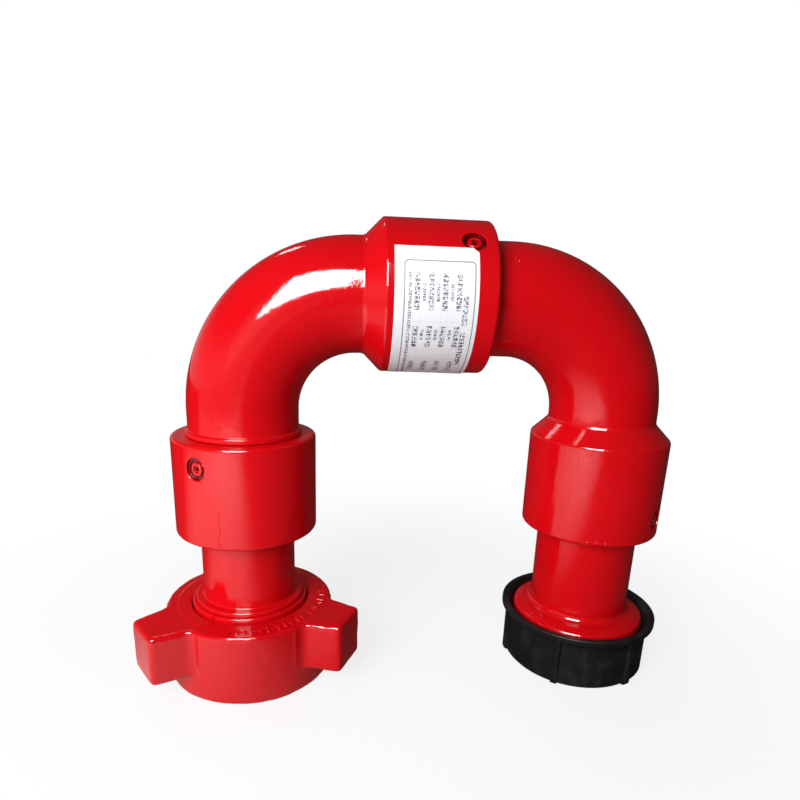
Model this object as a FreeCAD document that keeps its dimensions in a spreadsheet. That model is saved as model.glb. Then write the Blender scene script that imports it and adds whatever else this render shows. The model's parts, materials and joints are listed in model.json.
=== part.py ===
import math
import os
import FreeCAD, Part
import Sketcher
from FreeCAD import Placement, Rotation, Vector

# Three-swivel, two-elbow high-pressure swivel joint, standing as an arch on its two ends.
# The origin is on the floor under the left leg's axis; +X runs towards the right leg.
# "Depth" is measured into a swivel's cup from its mouth, and all sizes are millimetres.

DIMENSIONS = [
    # flow line and its route
    ("flow_bore", 44.45), ("tube_step", 0.7), ("bend_radius", 77.5),
    ("axis_height", 276.0), ("male_reach", 17.5), ("cup_straight", 4.5), ("cone_round", 2.5),
    # swivel cup
    ("cup_wall", 12.25), ("cup_length", 70.0), ("mouth_round", 2.5),
    # swivel male end
    ("ball_pitch_diameter", 75.0), ("ball_diameter", 9.525), ("ball_count", 24),
    ("race_clearance", 0.2), ("running_gap", 0.4), ("first_row", 15.5), ("row_pitch", 12.5),
    ("male_length", 51.0), ("male_chamfer", 2.0), ("shoulder_proud", 2.0),
    ("shoulder_width", 3.4), ("shoulder_round", 0.9), ("shoulder_gap", 0.4),
    # packing chamber
    ("face_gap", 0.5), ("packing_wall", 8.0), ("packing_depth", 8.6), ("packing_ledge", 1.0),
    ("backup_width", 4.0), ("backup_thickness", 1.3), ("seal_gap", 0.3), ("seat_gap", 0.05),
    # dust seal
    ("dust_depth", 4.2), ("dust_cord", 3.0),
    # ball loading ports
    ("port_hole", 10.2), ("port_counterbore", 14.8), ("port_counterbore_depth", 5.6),
    ("port_step_angle", 60.0), ("elbow_port_angle", 46.0), ("sub_port_angle", -121.0),
    ("plug_fit", 0.1), ("plug_flange", 2.2), ("plug_boss", 8.8), ("plug_inset", 1.3),
    ("plug_seal_cord", 1.4), ("circlip_thickness", 1.1), ("circlip_width", 1.7),
    ("circlip_groove", 0.7), ("circlip_gap_angle", 46.0),
    ("grease_screw", 4.8), ("grease_screw_length", 3.4), ("grease_screw_inset", 1.0),
    ("grease_socket", 2.8), ("grease_socket_depth", 1.8), ("grease_hole", 2.0),
    # left sub: neck, collar and nose
    ("left_neck", 67.0), ("collar_diameter", 78.5), ("collar_height", 3.0), ("collar_round", 1.4),
    ("neck_fillet", 1.2), ("nose_head", 84.0), ("nose_head_height", 20.0), ("nose_step", 76.0),
    ("nose_step_height", 15.0), ("nose_crown", 10.0), ("cup_base_round", 2.5),
    # retainer segments and their ring
    ("segment_flange", 95.0), ("segment_flange_height", 7.0), ("segment_sleeve", 84.2),
    ("segment_top", 56.5), ("segment_fit", 0.1), ("segment_slot_angle", 2.0), ("segment_round", 1.4),
    ("retainer_cord", 3.0), ("retainer_gap_angle", 14.0),
    # wing nut
    ("nut_diameter", 122.0), ("nut_height", 53.5), ("nut_thread", 100.6), ("nut_lip_gap", 0.6),
    ("nut_lip_height", 9.0), ("nut_relief", 2.0), ("nut_lead", 2.5), ("nut_edge", 3.0),
    ("lug_reach", 83.5), ("lug_root_width", 45.0), ("lug_tip_width", 34.0), ("lug_bottom", 16.0),
    ("lug_edge", 3.0), ("lug_fillet", 8.0), ("lug_angle", -25.0), ("lug_count", 3),
    # right sub: neck, hub and female seat
    ("right_neck_step", 0.6), ("hub_collar_step", 0.05), ("hub_thread_depth", 2.2),
    ("hub_shoulder", 41.5), ("hub_shoulder_slope", 3.5), ("hub_collar_height", 14.5),
    ("hub_fillet", 5.0), ("hub_flat", 1.0), ("hub_edge", 3.2),
    ("hub_lead", 2.5), ("seat_mouth", 77.0), ("seat_depth", 12.0),
    ("union_seal_wall", 5.2), ("union_seal_height", 7.6),
    # thread protector cap
    ("cap_wall", 3.9), ("cap_height", 43.0), ("cap_floor", 3.6), ("cap_fit", 0.3),
    ("cap_lip_proud", 5.0), ("cap_lip_height", 4.6), ("cap_flare", 4.9), ("cap_mouth_depth", 8.0),
    ("cap_edge", 2.0), ("cap_lip_round", 0.8),
    ("cap_rib_width", 5.0), ("cap_rib_proud", 2.6), ("cap_rib_count", 6), ("cap_rib_angle", 56.0),
    # paper label on the middle cup
    ("label_thickness", 0.2), ("label_mouth_gap", 13.75), ("label_width", 51.5),
    ("label_top_angle", 37.0), ("label_bottom_angle", -80.0),
]

# Each of these follows from the dimensions above and is written once.
DERIVED = [
    ("bore_radius", "Sizes.flow_bore / 2"),
    ("pitch_radius", "Sizes.ball_pitch_diameter / 2"),
    ("barrel_radius", "pitch_radius - Sizes.running_gap / 2"),
    ("tube_radius", "barrel_radius + Sizes.tube_step"),
    ("cup_radius", "pitch_radius + Sizes.cup_wall"),
    ("cone_length", "cup_radius - tube_radius"),
    ("cone_start", "Sizes.bend_radius + Sizes.cup_straight"),
    ("cup_start", "cone_start + cone_length"),
    ("cup_mouth", "cup_start + Sizes.cup_length"),
    ("male_mouth", "-(Sizes.bend_radius + Sizes.male_reach)"),
    ("left_mouth", "Sizes.axis_height + male_mouth"),
    ("right_mouth", "Sizes.axis_height - cup_mouth"),
    ("leg_spacing", "cup_mouth - male_mouth"),
    ("left_cup_bottom", "left_mouth - Sizes.cup_length"),
    ("ball_radius", "Sizes.ball_diameter / 2"),
    ("race_radius", "ball_radius + Sizes.race_clearance"),
    ("socket_radius", "pitch_radius + Sizes.running_gap / 2"),
    ("race_top", "pitch_radius + race_radius"),
    ("shoulder_radius", "tube_radius + Sizes.shoulder_proud"),
    ("socket_floor", "Sizes.male_length + Sizes.face_gap"),
    ("chamber_floor", "socket_floor + Sizes.packing_depth"),
    ("packing_inner", "bore_radius + Sizes.packing_ledge"),
    ("chamber_radius", "packing_inner + Sizes.packing_wall + Sizes.seat_gap"),
    ("packing_outer", "packing_inner + Sizes.packing_wall"),
    ("packing_front", "Sizes.male_length + Sizes.seal_gap"),
    ("packing_back", "chamber_floor - Sizes.seat_gap"),
    ("backup_inner", "packing_outer - Sizes.backup_width"),
    ("backup_back", "packing_front + Sizes.backup_thickness"),
    ("dust_radius", "Sizes.dust_cord / 2"),
    ("dust_centre_radius", "socket_radius + dust_radius"),
    ("dust_centre_depth", "Sizes.dust_depth + dust_radius"),
    ("dust_groove_radius", "dust_centre_radius + dust_radius + Sizes.seat_gap"),
    ("port_floor", "cup_radius - Sizes.port_counterbore_depth"),
    ("port_radius", "Sizes.port_hole / 2"),
    ("counterbore_radius", "Sizes.port_counterbore / 2"),
    ("flange_top", "port_floor + Sizes.seat_gap + Sizes.plug_flange"),
    ("flange_radius", "counterbore_radius - Sizes.plug_fit"),
    ("stem_radius", "port_radius - Sizes.plug_fit"),
    ("boss_radius", "Sizes.plug_boss / 2"),
    ("plug_inner", "race_top + Sizes.race_clearance"),
    ("plug_outer", "cup_radius - Sizes.plug_inset"),
    ("plug_seal_middle", "port_floor + Sizes.seat_gap + Sizes.plug_flange / 2"),
    ("plug_seal_groove", "Sizes.plug_seal_cord / 2 + Sizes.seat_gap"),
    ("circlip_bottom", "flange_top + Sizes.seat_gap"),
    ("circlip_top", "circlip_bottom + Sizes.circlip_thickness"),
    ("circlip_outer", "counterbore_radius + Sizes.circlip_groove - Sizes.seat_gap"),
    ("circlip_inner", "circlip_outer - Sizes.circlip_width"),
    ("circlip_groove_radius", "counterbore_radius + Sizes.circlip_groove"),
    ("screw_radius", "Sizes.grease_screw / 2"),
    ("screw_hole_radius", "screw_radius + Sizes.seat_gap"),
    ("screw_outer", "plug_outer - Sizes.grease_screw_inset"),
    ("screw_inner", "screw_outer - Sizes.grease_screw_length"),
    ("left_neck_radius", "Sizes.left_neck / 2"),
    ("collar_radius", "Sizes.collar_diameter / 2"),
    ("collar_top", "Sizes.segment_top + Sizes.seat_gap + Sizes.collar_height"),
    ("head_radius", "Sizes.nose_head / 2"),
    ("head_top", "Sizes.nose_step_height + Sizes.nose_head_height"),
    ("segment_bottom", "head_top + Sizes.seat_gap"),
    ("segment_inner", "left_neck_radius + Sizes.segment_fit"),
    ("segment_flange_top", "segment_bottom + Sizes.segment_flange_height"),
    ("segment_sleeve_radius", "Sizes.segment_sleeve / 2"),
    ("segment_flange_radius", "Sizes.segment_flange / 2"),
    ("retainer_radius", "Sizes.retainer_cord / 2"),
    ("retainer_middle", "segment_bottom + Sizes.segment_flange_height / 2"),
    ("retainer_centre", "segment_flange_radius - retainer_radius"),
    ("retainer_groove", "retainer_radius + Sizes.seat_gap"),
    ("nut_radius", "Sizes.nut_diameter / 2"),
    ("nut_thread_radius", "Sizes.nut_thread / 2"),
    ("nut_lip_radius", "segment_sleeve_radius + Sizes.nut_lip_gap"),
    ("nut_lip_bottom", "segment_flange_top + Sizes.nut_lip_gap"),
    ("nut_relief_radius", "nut_thread_radius + Sizes.nut_relief / 2"),
    ("right_neck_radius", "barrel_radius - Sizes.right_neck_step"),
    ("hub_collar_radius", "cup_radius + Sizes.hub_collar_step"),
    ("hub_radius", "hub_collar_radius - Sizes.hub_thread_depth"),
    ("hub_face", "Sizes.cap_floor + Sizes.cap_fit"),
    ("hub_slope_start", "right_neck_radius + Sizes.hub_fillet + Sizes.hub_flat"),
    ("hub_top", "Sizes.hub_shoulder + Sizes.hub_shoulder_slope"),
    ("seat_mouth_radius", "Sizes.seat_mouth / 2"),
    ("seal_pocket_radius", "bore_radius + Sizes.union_seal_wall + Sizes.seat_gap"),
    ("seat_end", "hub_face + Sizes.seat_depth"),
    ("seal_pocket_end", "seat_end + Sizes.union_seal_height + 2 * Sizes.seat_gap"),
    ("cap_inner", "hub_collar_radius + Sizes.cap_fit"),
    ("cap_radius", "cap_inner + Sizes.cap_wall"),
    ("cap_lip_radius", "cap_radius + Sizes.cap_lip_proud"),
    ("cap_lip_bottom", "Sizes.cap_height - Sizes.cap_lip_height"),
    ("cap_mouth_radius", "cap_inner + Sizes.cap_flare"),
    ("cap_mouth_bottom", "Sizes.cap_height - Sizes.cap_mouth_depth"),
    ("label_right", "cup_mouth - Sizes.label_mouth_gap"),
    ("label_left", "label_right - Sizes.label_width"),
    ("label_inner", "cup_radius + Sizes.seat_gap"),
    ("label_outer", "label_inner + Sizes.label_thickness"),
]

doc = FreeCAD.newDocument("swivel_joint")
sizes = doc.addObject("Spreadsheet::Sheet", "Sizes")
for row, (alias, value) in enumerate(DIMENSIONS, start=1):
    sizes.set("A%d" % row, alias.replace("_", " "))
    sizes.set("B%d" % row, str(value))
    sizes.setAlias("B%d" % row, alias)
layout = doc.addObject("App::VarSet", "Layout")
for name, formula in DERIVED:
    layout.addProperty("App::PropertyFloat", name, "Layout")
doc.recompute()
for name, formula in DERIVED:
    layout.setExpression(name, formula)
doc.recompute()

nodes = []


def size(name):
    """The present value of a driving or derived dimension."""
    return float(getattr(sizes if hasattr(sizes, name) else layout, name))


def qualify(expression):
    """Points each plain word of an expression at the sheet or the derived values."""
    driving = {alias for alias, value in DIMENSIONS}
    derived = {name for name, formula in DERIVED}
    words = []
    for word in expression.replace("(", "( ").replace(")", " )").split():
        if word in driving:
            word = "Sizes." + word
        elif word in derived:
            word = "Layout." + word
        words.append(word)
    return " ".join(words)


def new_body(label, place=None):
    """A body that becomes one node of the part."""
    body = doc.addObject("PartDesign::Body", label)
    body.Label = label
    if hasattr(body, "AllowCompound"):
        body.AllowCompound = True
    if place is not None:
        body.Placement = place
    nodes.append(body)
    return body


def new_sketch(body, name, role="XZ_Plane", turn_axis=None, turn=None, shift=None):
    """A sketch on one of the body's own planes, turned and shifted by named sizes."""
    sketch = body.newObject("Sketcher::SketchObject", name)
    plane = [item for item in body.Origin.OriginFeatures if item.Role == role][0]
    sketch.AttachmentSupport = (plane, "")
    sketch.MapMode = "FlatFace"
    if turn_axis is not None:
        sketch.AttachmentOffset = Placement(Vector(0, 0, 0), Rotation(turn_axis, 1.0))
        sketch.setExpression("AttachmentOffset.Rotation.Angle", qualify(turn))
    for part, expression in (shift or {}).items():
        sketch.setExpression("AttachmentOffset.Base." + part, qualify(expression))
    return sketch


def bind(sketch, kind, where, expression):
    """A dimension of a sketch that follows an expression."""
    index = sketch.addConstraint(Sketcher.Constraint(kind, *where, 1.0))
    sketch.setExpression("Constraints[%d]" % index, qualify(expression))


def outline(sketch, corners):
    """A closed outline of straight sides through corners given as pairs of expressions."""
    count = len(corners)
    guess = [(10.0 + 3 * i, 10.0 + 2 * i * i) for i in range(count)]
    for i in range(count):
        start = Vector(guess[i][0], guess[i][1], 0)
        end = Vector(guess[(i + 1) % count][0], guess[(i + 1) % count][1], 0)
        sketch.addGeometry(Part.LineSegment(start, end), False)
    for i in range(count):
        sketch.addConstraint(Sketcher.Constraint("Coincident", i, 2, (i + 1) % count, 1))
    for i, (across, up) in enumerate(corners):
        bind(sketch, "DistanceX", (-1, 1, i, 1), across)
        bind(sketch, "DistanceY", (-1, 1, i, 1), up)


def ring(sketch, across, up, radius):
    """A circle whose centre and radius follow expressions."""
    index = sketch.addGeometry(Part.Circle(Vector(10, 10, 0), Vector(0, 0, 1), 2.0), False)
    bind(sketch, "DistanceX", (-1, 1, index, 3), across)
    bind(sketch, "DistanceY", (-1, 1, index, 3), up)
    bind(sketch, "Radius", (index,), radius)


def turned(body, sketch, axis="V_Axis", cut=False, angle=None):
    """Revolves a sketch about one of its axes, adding material or cutting it away."""
    before = body.Tip.Shape.Volume if cut else 0.0
    kind = "PartDesign::Groove" if cut else "PartDesign::Revolution"
    feature = body.newObject(kind, sketch.Name + "_turned")
    feature.Profile = sketch
    feature.ReferenceAxis = (sketch, [axis])
    feature.Angle = 360.0
    if angle is not None:
        feature.setExpression("Angle", qualify(angle))
    doc.recompute()
    if cut and not feature.Shape.Volume < before - 0.01:
        raise RuntimeError(feature.Name + " cuts nothing")
    return feature


def rounded(body, name, radius, test):
    """Rounds the edges of the body's latest feature that pass a test."""
    base = body.Tip
    edges = ["Edge%d" % i for i, edge in enumerate(base.Shape.Edges, start=1) if test(edge)]
    if not edges:
        raise RuntimeError(name + " finds no edge")
    feature = body.newObject("PartDesign::Fillet", name)
    feature.Base = (base, edges)
    feature.setExpression("Radius", qualify(radius))
    doc.recompute()
    return feature


def circle_edge(radius, axis, along):
    """A test for a full round edge of one radius at one place along an axis."""
    def test(edge):
        curve = edge.Curve
        if not isinstance(curve, Part.Circle) or abs(curve.Radius - radius) > 0.01:
            return False
        if abs(abs(curve.Axis.dot(axis)) - 1) > 0.001:
            return False
        return abs(curve.Center.dot(axis) - along) < 0.01
    return test


X_AXIS = Vector(1, 0, 0)
Y_AXIS = Vector(0, 1, 0)
Z_AXIS = Vector(0, 0, 1)


class Cup:
    """Where a swivel's cup lies in its body: its axis, its mouth and the way its depth runs."""

    def __init__(self, axis, mouth, sign, port_angle=None):
        self.axis = axis
        self.mouth = mouth
        self.sign = sign
        self.port_angle = port_angle

    def along(self, depth):
        return "%s %s ( %s )" % (self.mouth, self.sign, depth)

    def spot(self, depth, radius):
        """A corner of a profile on the XZ plane, from a depth and a radius."""
        if self.axis == "V_Axis":
            return (radius, self.along(depth))
        return (self.along(depth), radius)

    def port_sketch(self, body, name, index):
        """A sketch whose own axis runs out of one ball loading port."""
        depth = "first_row + %d * row_pitch" % index
        turn = "%s - %d * port_step_angle" % (self.port_angle, index)
        if self.axis == "V_Axis":
            return new_sketch(body, name, "XZ_Plane", Y_AXIS, turn, {"y": self.along(depth)})
        return new_sketch(body, name, "XZ_Plane", X_AXIS, turn, {"x": self.along(depth)})

    def port_axis(self):
        return "H_Axis" if self.axis == "V_Axis" else "V_Axis"

    def port_spot(self, height, radius):
        """A corner of a port's profile, from a height above the cup's axis and a radius."""
        return (height, radius) if self.axis == "V_Axis" else (radius, height)


ELBOW_CUP = Cup("H_Axis", "cup_mouth", "-", "elbow_port_angle")
SUB_CUP = Cup("V_Axis", "left_mouth", "-", "sub_port_angle")
ELBOW_MALE = Cup("V_Axis", "male_mouth", "-")
SUB_MALE = Cup("V_Axis", "right_mouth", "+")
ROWS = range(3)


def cut_rings(body, name, cup, radius):
    """The three ball races, cut as half-round grooves."""
    sketch = new_sketch(body, name)
    for row in ROWS:
        ring(sketch, *cup.spot("first_row + %d * row_pitch" % row, "pitch_radius"), radius)
    turned(body, sketch, cup.axis, cut=True)


def cut_socket(body, cup):
    """The inside of a cup: male socket, packing chamber, dust groove, races and ports."""
    sketch = new_sketch(body, "socket")
    outline(sketch, [
        cup.spot("-1", "0"), cup.spot("-1", "socket_radius"),
        cup.spot("socket_floor", "socket_radius"), cup.spot("socket_floor", "chamber_radius"),
        cup.spot("chamber_floor", "chamber_radius"), cup.spot("chamber_floor", "0")])
    turned(body, sketch, cup.axis, cut=True)
    dust = new_sketch(body, "dust_groove")
    outline(dust, [
        cup.spot("dust_depth - seat_gap", "pitch_radius"),
        cup.spot("dust_depth - seat_gap", "dust_groove_radius"),
        cup.spot("dust_depth + dust_cord + seat_gap", "dust_groove_radius"),
        cup.spot("dust_depth + dust_cord + seat_gap", "pitch_radius")])
    turned(body, dust, cup.axis, cut=True)
    cut_rings(body, "races", cup, "race_radius")
    for row in ROWS:
        port = cup.port_sketch(body, "port_%d" % (row + 1), row)
        outline(port, [
            cup.port_spot("pitch_radius", "0"), cup.port_spot("pitch_radius", "port_radius"),
            cup.port_spot("port_floor", "port_radius"),
            cup.port_spot("port_floor", "counterbore_radius"),
            cup.port_spot("circlip_bottom - seat_gap", "counterbore_radius"),
            cup.port_spot("circlip_bottom - seat_gap", "circlip_groove_radius"),
            cup.port_spot("circlip_top + seat_gap", "circlip_groove_radius"),
            cup.port_spot("circlip_top + seat_gap", "counterbore_radius"),
            cup.port_spot("cup_radius + 1", "counterbore_radius"),
            cup.port_spot("cup_radius + 1", "0")])
        turned(body, port, cup.port_axis(), cut=True)


def cup_fittings(prefix, cup, place):
    """The pieces that a cup holds: ball rows, packing, rings, seals, plugs and screws."""
    for row in ROWS:
        balls = new_body("%s_ball_row_%d" % (prefix, row + 1), place)
        ball = balls.newObject("PartDesign::AdditiveSphere", "ball")
        plane = [item for item in balls.Origin.OriginFeatures if item.Role == "XZ_Plane"][0]
        ball.AttachmentSupport = (plane, "")
        ball.MapMode = "FlatFace"
        ball.setExpression("Radius", "Layout.ball_radius")
        across, up = cup.spot("first_row + %d * row_pitch" % row, "pitch_radius")
        ball.setExpression("AttachmentOffset.Base.x", qualify(across))
        ball.setExpression("AttachmentOffset.Base.y", qualify(up))
        pattern = balls.newObject("PartDesign::PolarPattern", "ball_ring")
        pattern.Originals = [ball]
        line = "Z_Axis" if cup.axis == "V_Axis" else "X_Axis"
        axis = [item for item in balls.Origin.OriginFeatures if item.Role == line][0]
        pattern.Axis = (axis, [""])
        pattern.Angle = 360.0
        pattern.setExpression("Occurrences", "Sizes.ball_count")
        balls.Tip = pattern
    packing = new_body(prefix + "_packing", place)
    section = new_sketch(packing, "packing_section")
    outline(section, [
        cup.spot("packing_front", "packing_inner"),
        cup.spot("packing_front", "backup_inner - seat_gap"),
        cup.spot("backup_back + seat_gap", "backup_inner - seat_gap"),
        cup.spot("backup_back + seat_gap", "packing_outer"),
        cup.spot("packing_back", "packing_outer"), cup.spot("packing_back", "packing_inner")])
    turned(packing, section, cup.axis)
    backup = new_body(prefix + "_backup_ring", place)
    section = new_sketch(backup, "backup_section")
    outline(section, [
        cup.spot("packing_front", "backup_inner"), cup.spot("packing_front", "packing_outer"),
        cup.spot("backup_back", "packing_outer"), cup.spot("backup_back", "backup_inner")])
    turned(backup, section, cup.axis)
    dust = new_body(prefix + "_dust_seal", place)
    section = new_sketch(dust, "dust_section")
    ring(section, *cup.spot("dust_centre_depth", "dust_centre_radius"), "dust_radius")
    turned(dust, section, cup.axis)
    plugs = new_body(prefix + "_ball_plugs", place)
    seals = new_body(prefix + "_plug_seals", place)
    circlips = new_body(prefix + "_plug_circlips", place)
    screws = new_body(prefix + "_grease_screws", place)
    for row in ROWS:
        number = row + 1
        section = cup.port_sketch(plugs, "plug_%d" % number, row)
        outline(section, [
            cup.port_spot("plug_inner", "grease_hole / 2"),
            cup.port_spot("plug_inner", "stem_radius"),
            cup.port_spot("port_floor + seat_gap", "stem_radius"),
            cup.port_spot("port_floor + seat_gap", "flange_radius"),
            cup.port_spot("plug_seal_middle - plug_seal_groove", "flange_radius"),
            cup.port_spot("plug_seal_middle - plug_seal_groove", "flange_radius - plug_seal_cord"),
            cup.port_spot("plug_seal_middle + plug_seal_groove", "flange_radius - plug_seal_cord"),
            cup.port_spot("plug_seal_middle + plug_seal_groove", "flange_radius"),
            cup.port_spot("flange_top", "flange_radius"), cup.port_spot("flange_top", "boss_radius"),
            cup.port_spot("plug_outer", "boss_radius"),
            cup.port_spot("plug_outer", "screw_hole_radius"),
            cup.port_spot("screw_inner - seat_gap", "screw_hole_radius"),
            cup.port_spot("screw_inner - seat_gap", "grease_hole / 2")])
        turned(plugs, section, cup.port_axis())
        section = cup.port_sketch(seals, "plug_seal_%d" % number, row)
        ring(section, *cup.port_spot(
            "plug_seal_middle", "flange_radius + seat_gap - plug_seal_cord / 2"),
            "plug_seal_cord / 2")
        turned(seals, section, cup.port_axis())
        section = cup.port_sketch(circlips, "circlip_%d" % number, row)
        outline(section, [
            cup.port_spot("circlip_bottom", "circlip_inner"),
            cup.port_spot("circlip_bottom", "circlip_outer"),
            cup.port_spot("circlip_top", "circlip_outer"),
            cup.port_spot("circlip_top", "circlip_inner")])
        turned(circlips, section, cup.port_axis(), angle="360 - circlip_gap_angle")
        section = cup.port_sketch(screws, "grease_screw_%d" % number, row)
        outline(section, [
            cup.port_spot("screw_inner", "0"), cup.port_spot("screw_inner", "screw_radius"),
            cup.port_spot("screw_outer", "screw_radius"),
            cup.port_spot("screw_outer", "grease_socket / 2"),
            cup.port_spot("screw_outer - grease_socket_depth", "grease_socket / 2"),
            cup.port_spot("screw_outer - grease_socket_depth", "0")])
        turned(screws, section, cup.port_axis())


def add_male_end(body, male, shoulder):
    """The barrel that turns in a cup, with its three races and, on an elbow, its shoulder."""
    sketch = new_sketch(body, "male_barrel")
    outline(sketch, [
        male.spot("- shoulder_gap", "0"), male.spot("- shoulder_gap", "barrel_radius"),
        male.spot("male_length - male_chamfer", "barrel_radius"),
        male.spot("male_length", "barrel_radius - male_chamfer"), male.spot("male_length", "0")])
    turned(body, sketch, male.axis)
    if shoulder:
        sketch = new_sketch(body, "shoulder_ring")
        outline(sketch, [
            male.spot("- shoulder_gap - shoulder_width", "0"),
            male.spot("- shoulder_gap - shoulder_width", "shoulder_radius"),
            male.spot("- shoulder_gap", "shoulder_radius"), male.spot("- shoulder_gap", "0")])
        turned(body, sketch, male.axis)
        top = size("male_mouth") + size("shoulder_gap") + size("shoulder_width")
        rounded(body, "shoulder_rounding", "shoulder_round",
                circle_edge(size("shoulder_radius"), Z_AXIS, top))
    cut_rings(body, "male_races", male, "race_radius")


def bend_path(body, name, start, end):
    """The centre line of an elbow: up its leg, round the bend and out along +X."""
    path = new_sketch(body, name)
    bend = size("bend_radius")
    circle = Part.Circle(Vector(bend, -bend, 0), Z_AXIS, bend)
    path.addGeometry(Part.LineSegment(Vector(0, -2 * bend, 0), Vector(0, -bend, 0)), False)
    path.addGeometry(Part.ArcOfCircle(circle, math.pi / 2, math.pi), False)
    path.addGeometry(Part.LineSegment(Vector(bend, 0, 0), Vector(2 * bend, 0, 0)), False)
    path.addConstraint(Sketcher.Constraint("Tangent", 0, 2, 1, 2))
    path.addConstraint(Sketcher.Constraint("Tangent", 1, 1, 2, 1))
    path.addConstraint(Sketcher.Constraint("PointOnObject", 0, 1, -2))
    path.addConstraint(Sketcher.Constraint("PointOnObject", 0, 2, -2))
    path.addConstraint(Sketcher.Constraint("PointOnObject", 2, 1, -1))
    path.addConstraint(Sketcher.Constraint("PointOnObject", 2, 2, -1))
    bind(path, "Radius", (1,), "bend_radius")
    bind(path, "DistanceY", (-1, 1, 0, 1), start)
    bind(path, "DistanceX", (-1, 1, 2, 2), end)
    return path


def swept(body, name, start, end, radius, cut=False):
    """A round section carried along the bend, as solid tube or as the bore through it."""
    path = bend_path(body, name + "_path", start, end)
    section = new_sketch(body, name + "_section", "XY_Plane", shift={"z": start})
    ring(section, "0", "0", radius)
    before = body.Tip.Shape.Volume if cut else 0.0
    kind = "PartDesign::SubtractivePipe" if cut else "PartDesign::AdditivePipe"
    pipe = body.newObject(kind, name)
    pipe.Profile = section
    pipe.Spine = (path, ["Edge1", "Edge2", "Edge3"])
    doc.recompute()
    if cut and not pipe.Shape.Volume < before - 0.01:
        raise RuntimeError(name + " cuts nothing")
    return pipe


def make_elbow(label, place):
    """A long-sweep elbow: male end down its leg, tube round the bend, cup along +X."""
    body = new_body(label, place)
    swept(body, "tube", "male_mouth + shoulder_gap", "cone_start", "tube_radius")
    cup = new_sketch(body, "cup_outside")
    outline(cup, [
        ("cone_start", "0"), ("cone_start", "tube_radius"), ("cup_start", "cup_radius"),
        ("cup_mouth", "cup_radius"), ("cup_mouth", "0")])
    turned(body, cup, "H_Axis")
    rounded(body, "mouth_rounding", "mouth_round",
            circle_edge(size("cup_radius"), X_AXIS, size("cup_mouth")))
    rounded(body, "cone_rounding", "cone_round",
            circle_edge(size("cup_radius"), X_AXIS, size("cup_start")))
    add_male_end(body, ELBOW_MALE, shoulder=True)
    cut_socket(body, ELBOW_CUP)
    swept(body, "bore", "male_mouth - male_length - 1", "cup_mouth", "bore_radius", cut=True)
    return body


def bore_through(body, bottom, top):
    """The straight flow bore between two heights."""
    sketch = new_sketch(body, "bore")
    outline(sketch, [("0", bottom), ("bore_radius", bottom), ("bore_radius", top), ("0", top)])
    turned(body, sketch, "V_Axis", cut=True)


def make_wing_sub():
    """The left forging: cup, neck, collar, segment groove and the nose that seats in a union."""
    body = new_body("wing_sub")
    sketch = new_sketch(body, "outside")
    outline(sketch, [
        ("0", "0"), ("nose_step / 2", "0"), ("nose_step / 2", "nose_step_height"),
        ("head_radius", "nose_step_height"), ("head_radius", "head_top"),
        ("left_neck_radius", "head_top"), ("left_neck_radius", "segment_top + seat_gap"),
        ("collar_radius", "segment_top + seat_gap"), ("collar_radius", "collar_top"),
        ("left_neck_radius", "collar_top"), ("left_neck_radius", "left_cup_bottom"),
        ("cup_radius", "left_cup_bottom"), ("cup_radius", "left_mouth"), ("0", "left_mouth")])
    turned(body, sketch, "V_Axis")
    rounded(body, "nose_rounding", "nose_crown",
            circle_edge(size("nose_step") / 2, Z_AXIS, 0))
    rounded(body, "collar_rounding", "collar_round",
            circle_edge(size("collar_radius"), Z_AXIS, size("collar_top")))
    rounded(body, "neck_rounding", "neck_fillet",
            circle_edge(size("left_neck_radius"), Z_AXIS, size("collar_top")))
    rounded(body, "base_rounding", "cup_base_round",
            circle_edge(size("cup_radius"), Z_AXIS, size("left_cup_bottom")))
    rounded(body, "mouth_rounding", "mouth_round",
            circle_edge(size("cup_radius"), Z_AXIS, size("left_mouth")))
    cut_socket(body, SUB_CUP)
    bore_through(body, "-1", "left_mouth")
    return body


def make_segments():
    """Three loose segments that carry the nut's load, and the ring that keeps them together."""
    segments = new_body("retainer_segments")
    sketch = new_sketch(segments, "segment_section")
    outline(sketch, [
        ("segment_inner", "segment_bottom"), ("segment_flange_radius", "segment_bottom"),
        ("segment_flange_radius", "retainer_middle - retainer_groove"),
        ("retainer_centre - retainer_groove", "retainer_middle - retainer_groove"),
        ("retainer_centre - retainer_groove", "retainer_middle + retainer_groove"),
        ("segment_flange_radius", "retainer_middle + retainer_groove"),
        ("segment_flange_radius", "segment_flange_top"),
        ("segment_sleeve_radius", "segment_flange_top"),
        ("segment_sleeve_radius", "segment_top"), ("segment_inner", "segment_top")])
    one = turned(segments, sketch, "V_Axis", angle="120 - segment_slot_angle")
    pattern = segments.newObject("PartDesign::PolarPattern", "segment_ring")
    pattern.Originals = [one]
    pattern.Axis = (sketch, ["V_Axis"])
    pattern.Angle = 360.0
    pattern.Occurrences = 3
    segments.Tip = pattern
    doc.recompute()
    rounded(segments, "segment_rounding", "segment_round",
            circle_edge(size("segment_sleeve_radius"), Z_AXIS, size("segment_top")))
    keeper = new_body("retainer_ring")
    sketch = new_sketch(keeper, "wire_section")
    ring(sketch, "retainer_centre", "retainer_middle", "retainer_radius")
    turned(keeper, sketch, "V_Axis", angle="360 - retainer_gap_angle")


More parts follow.
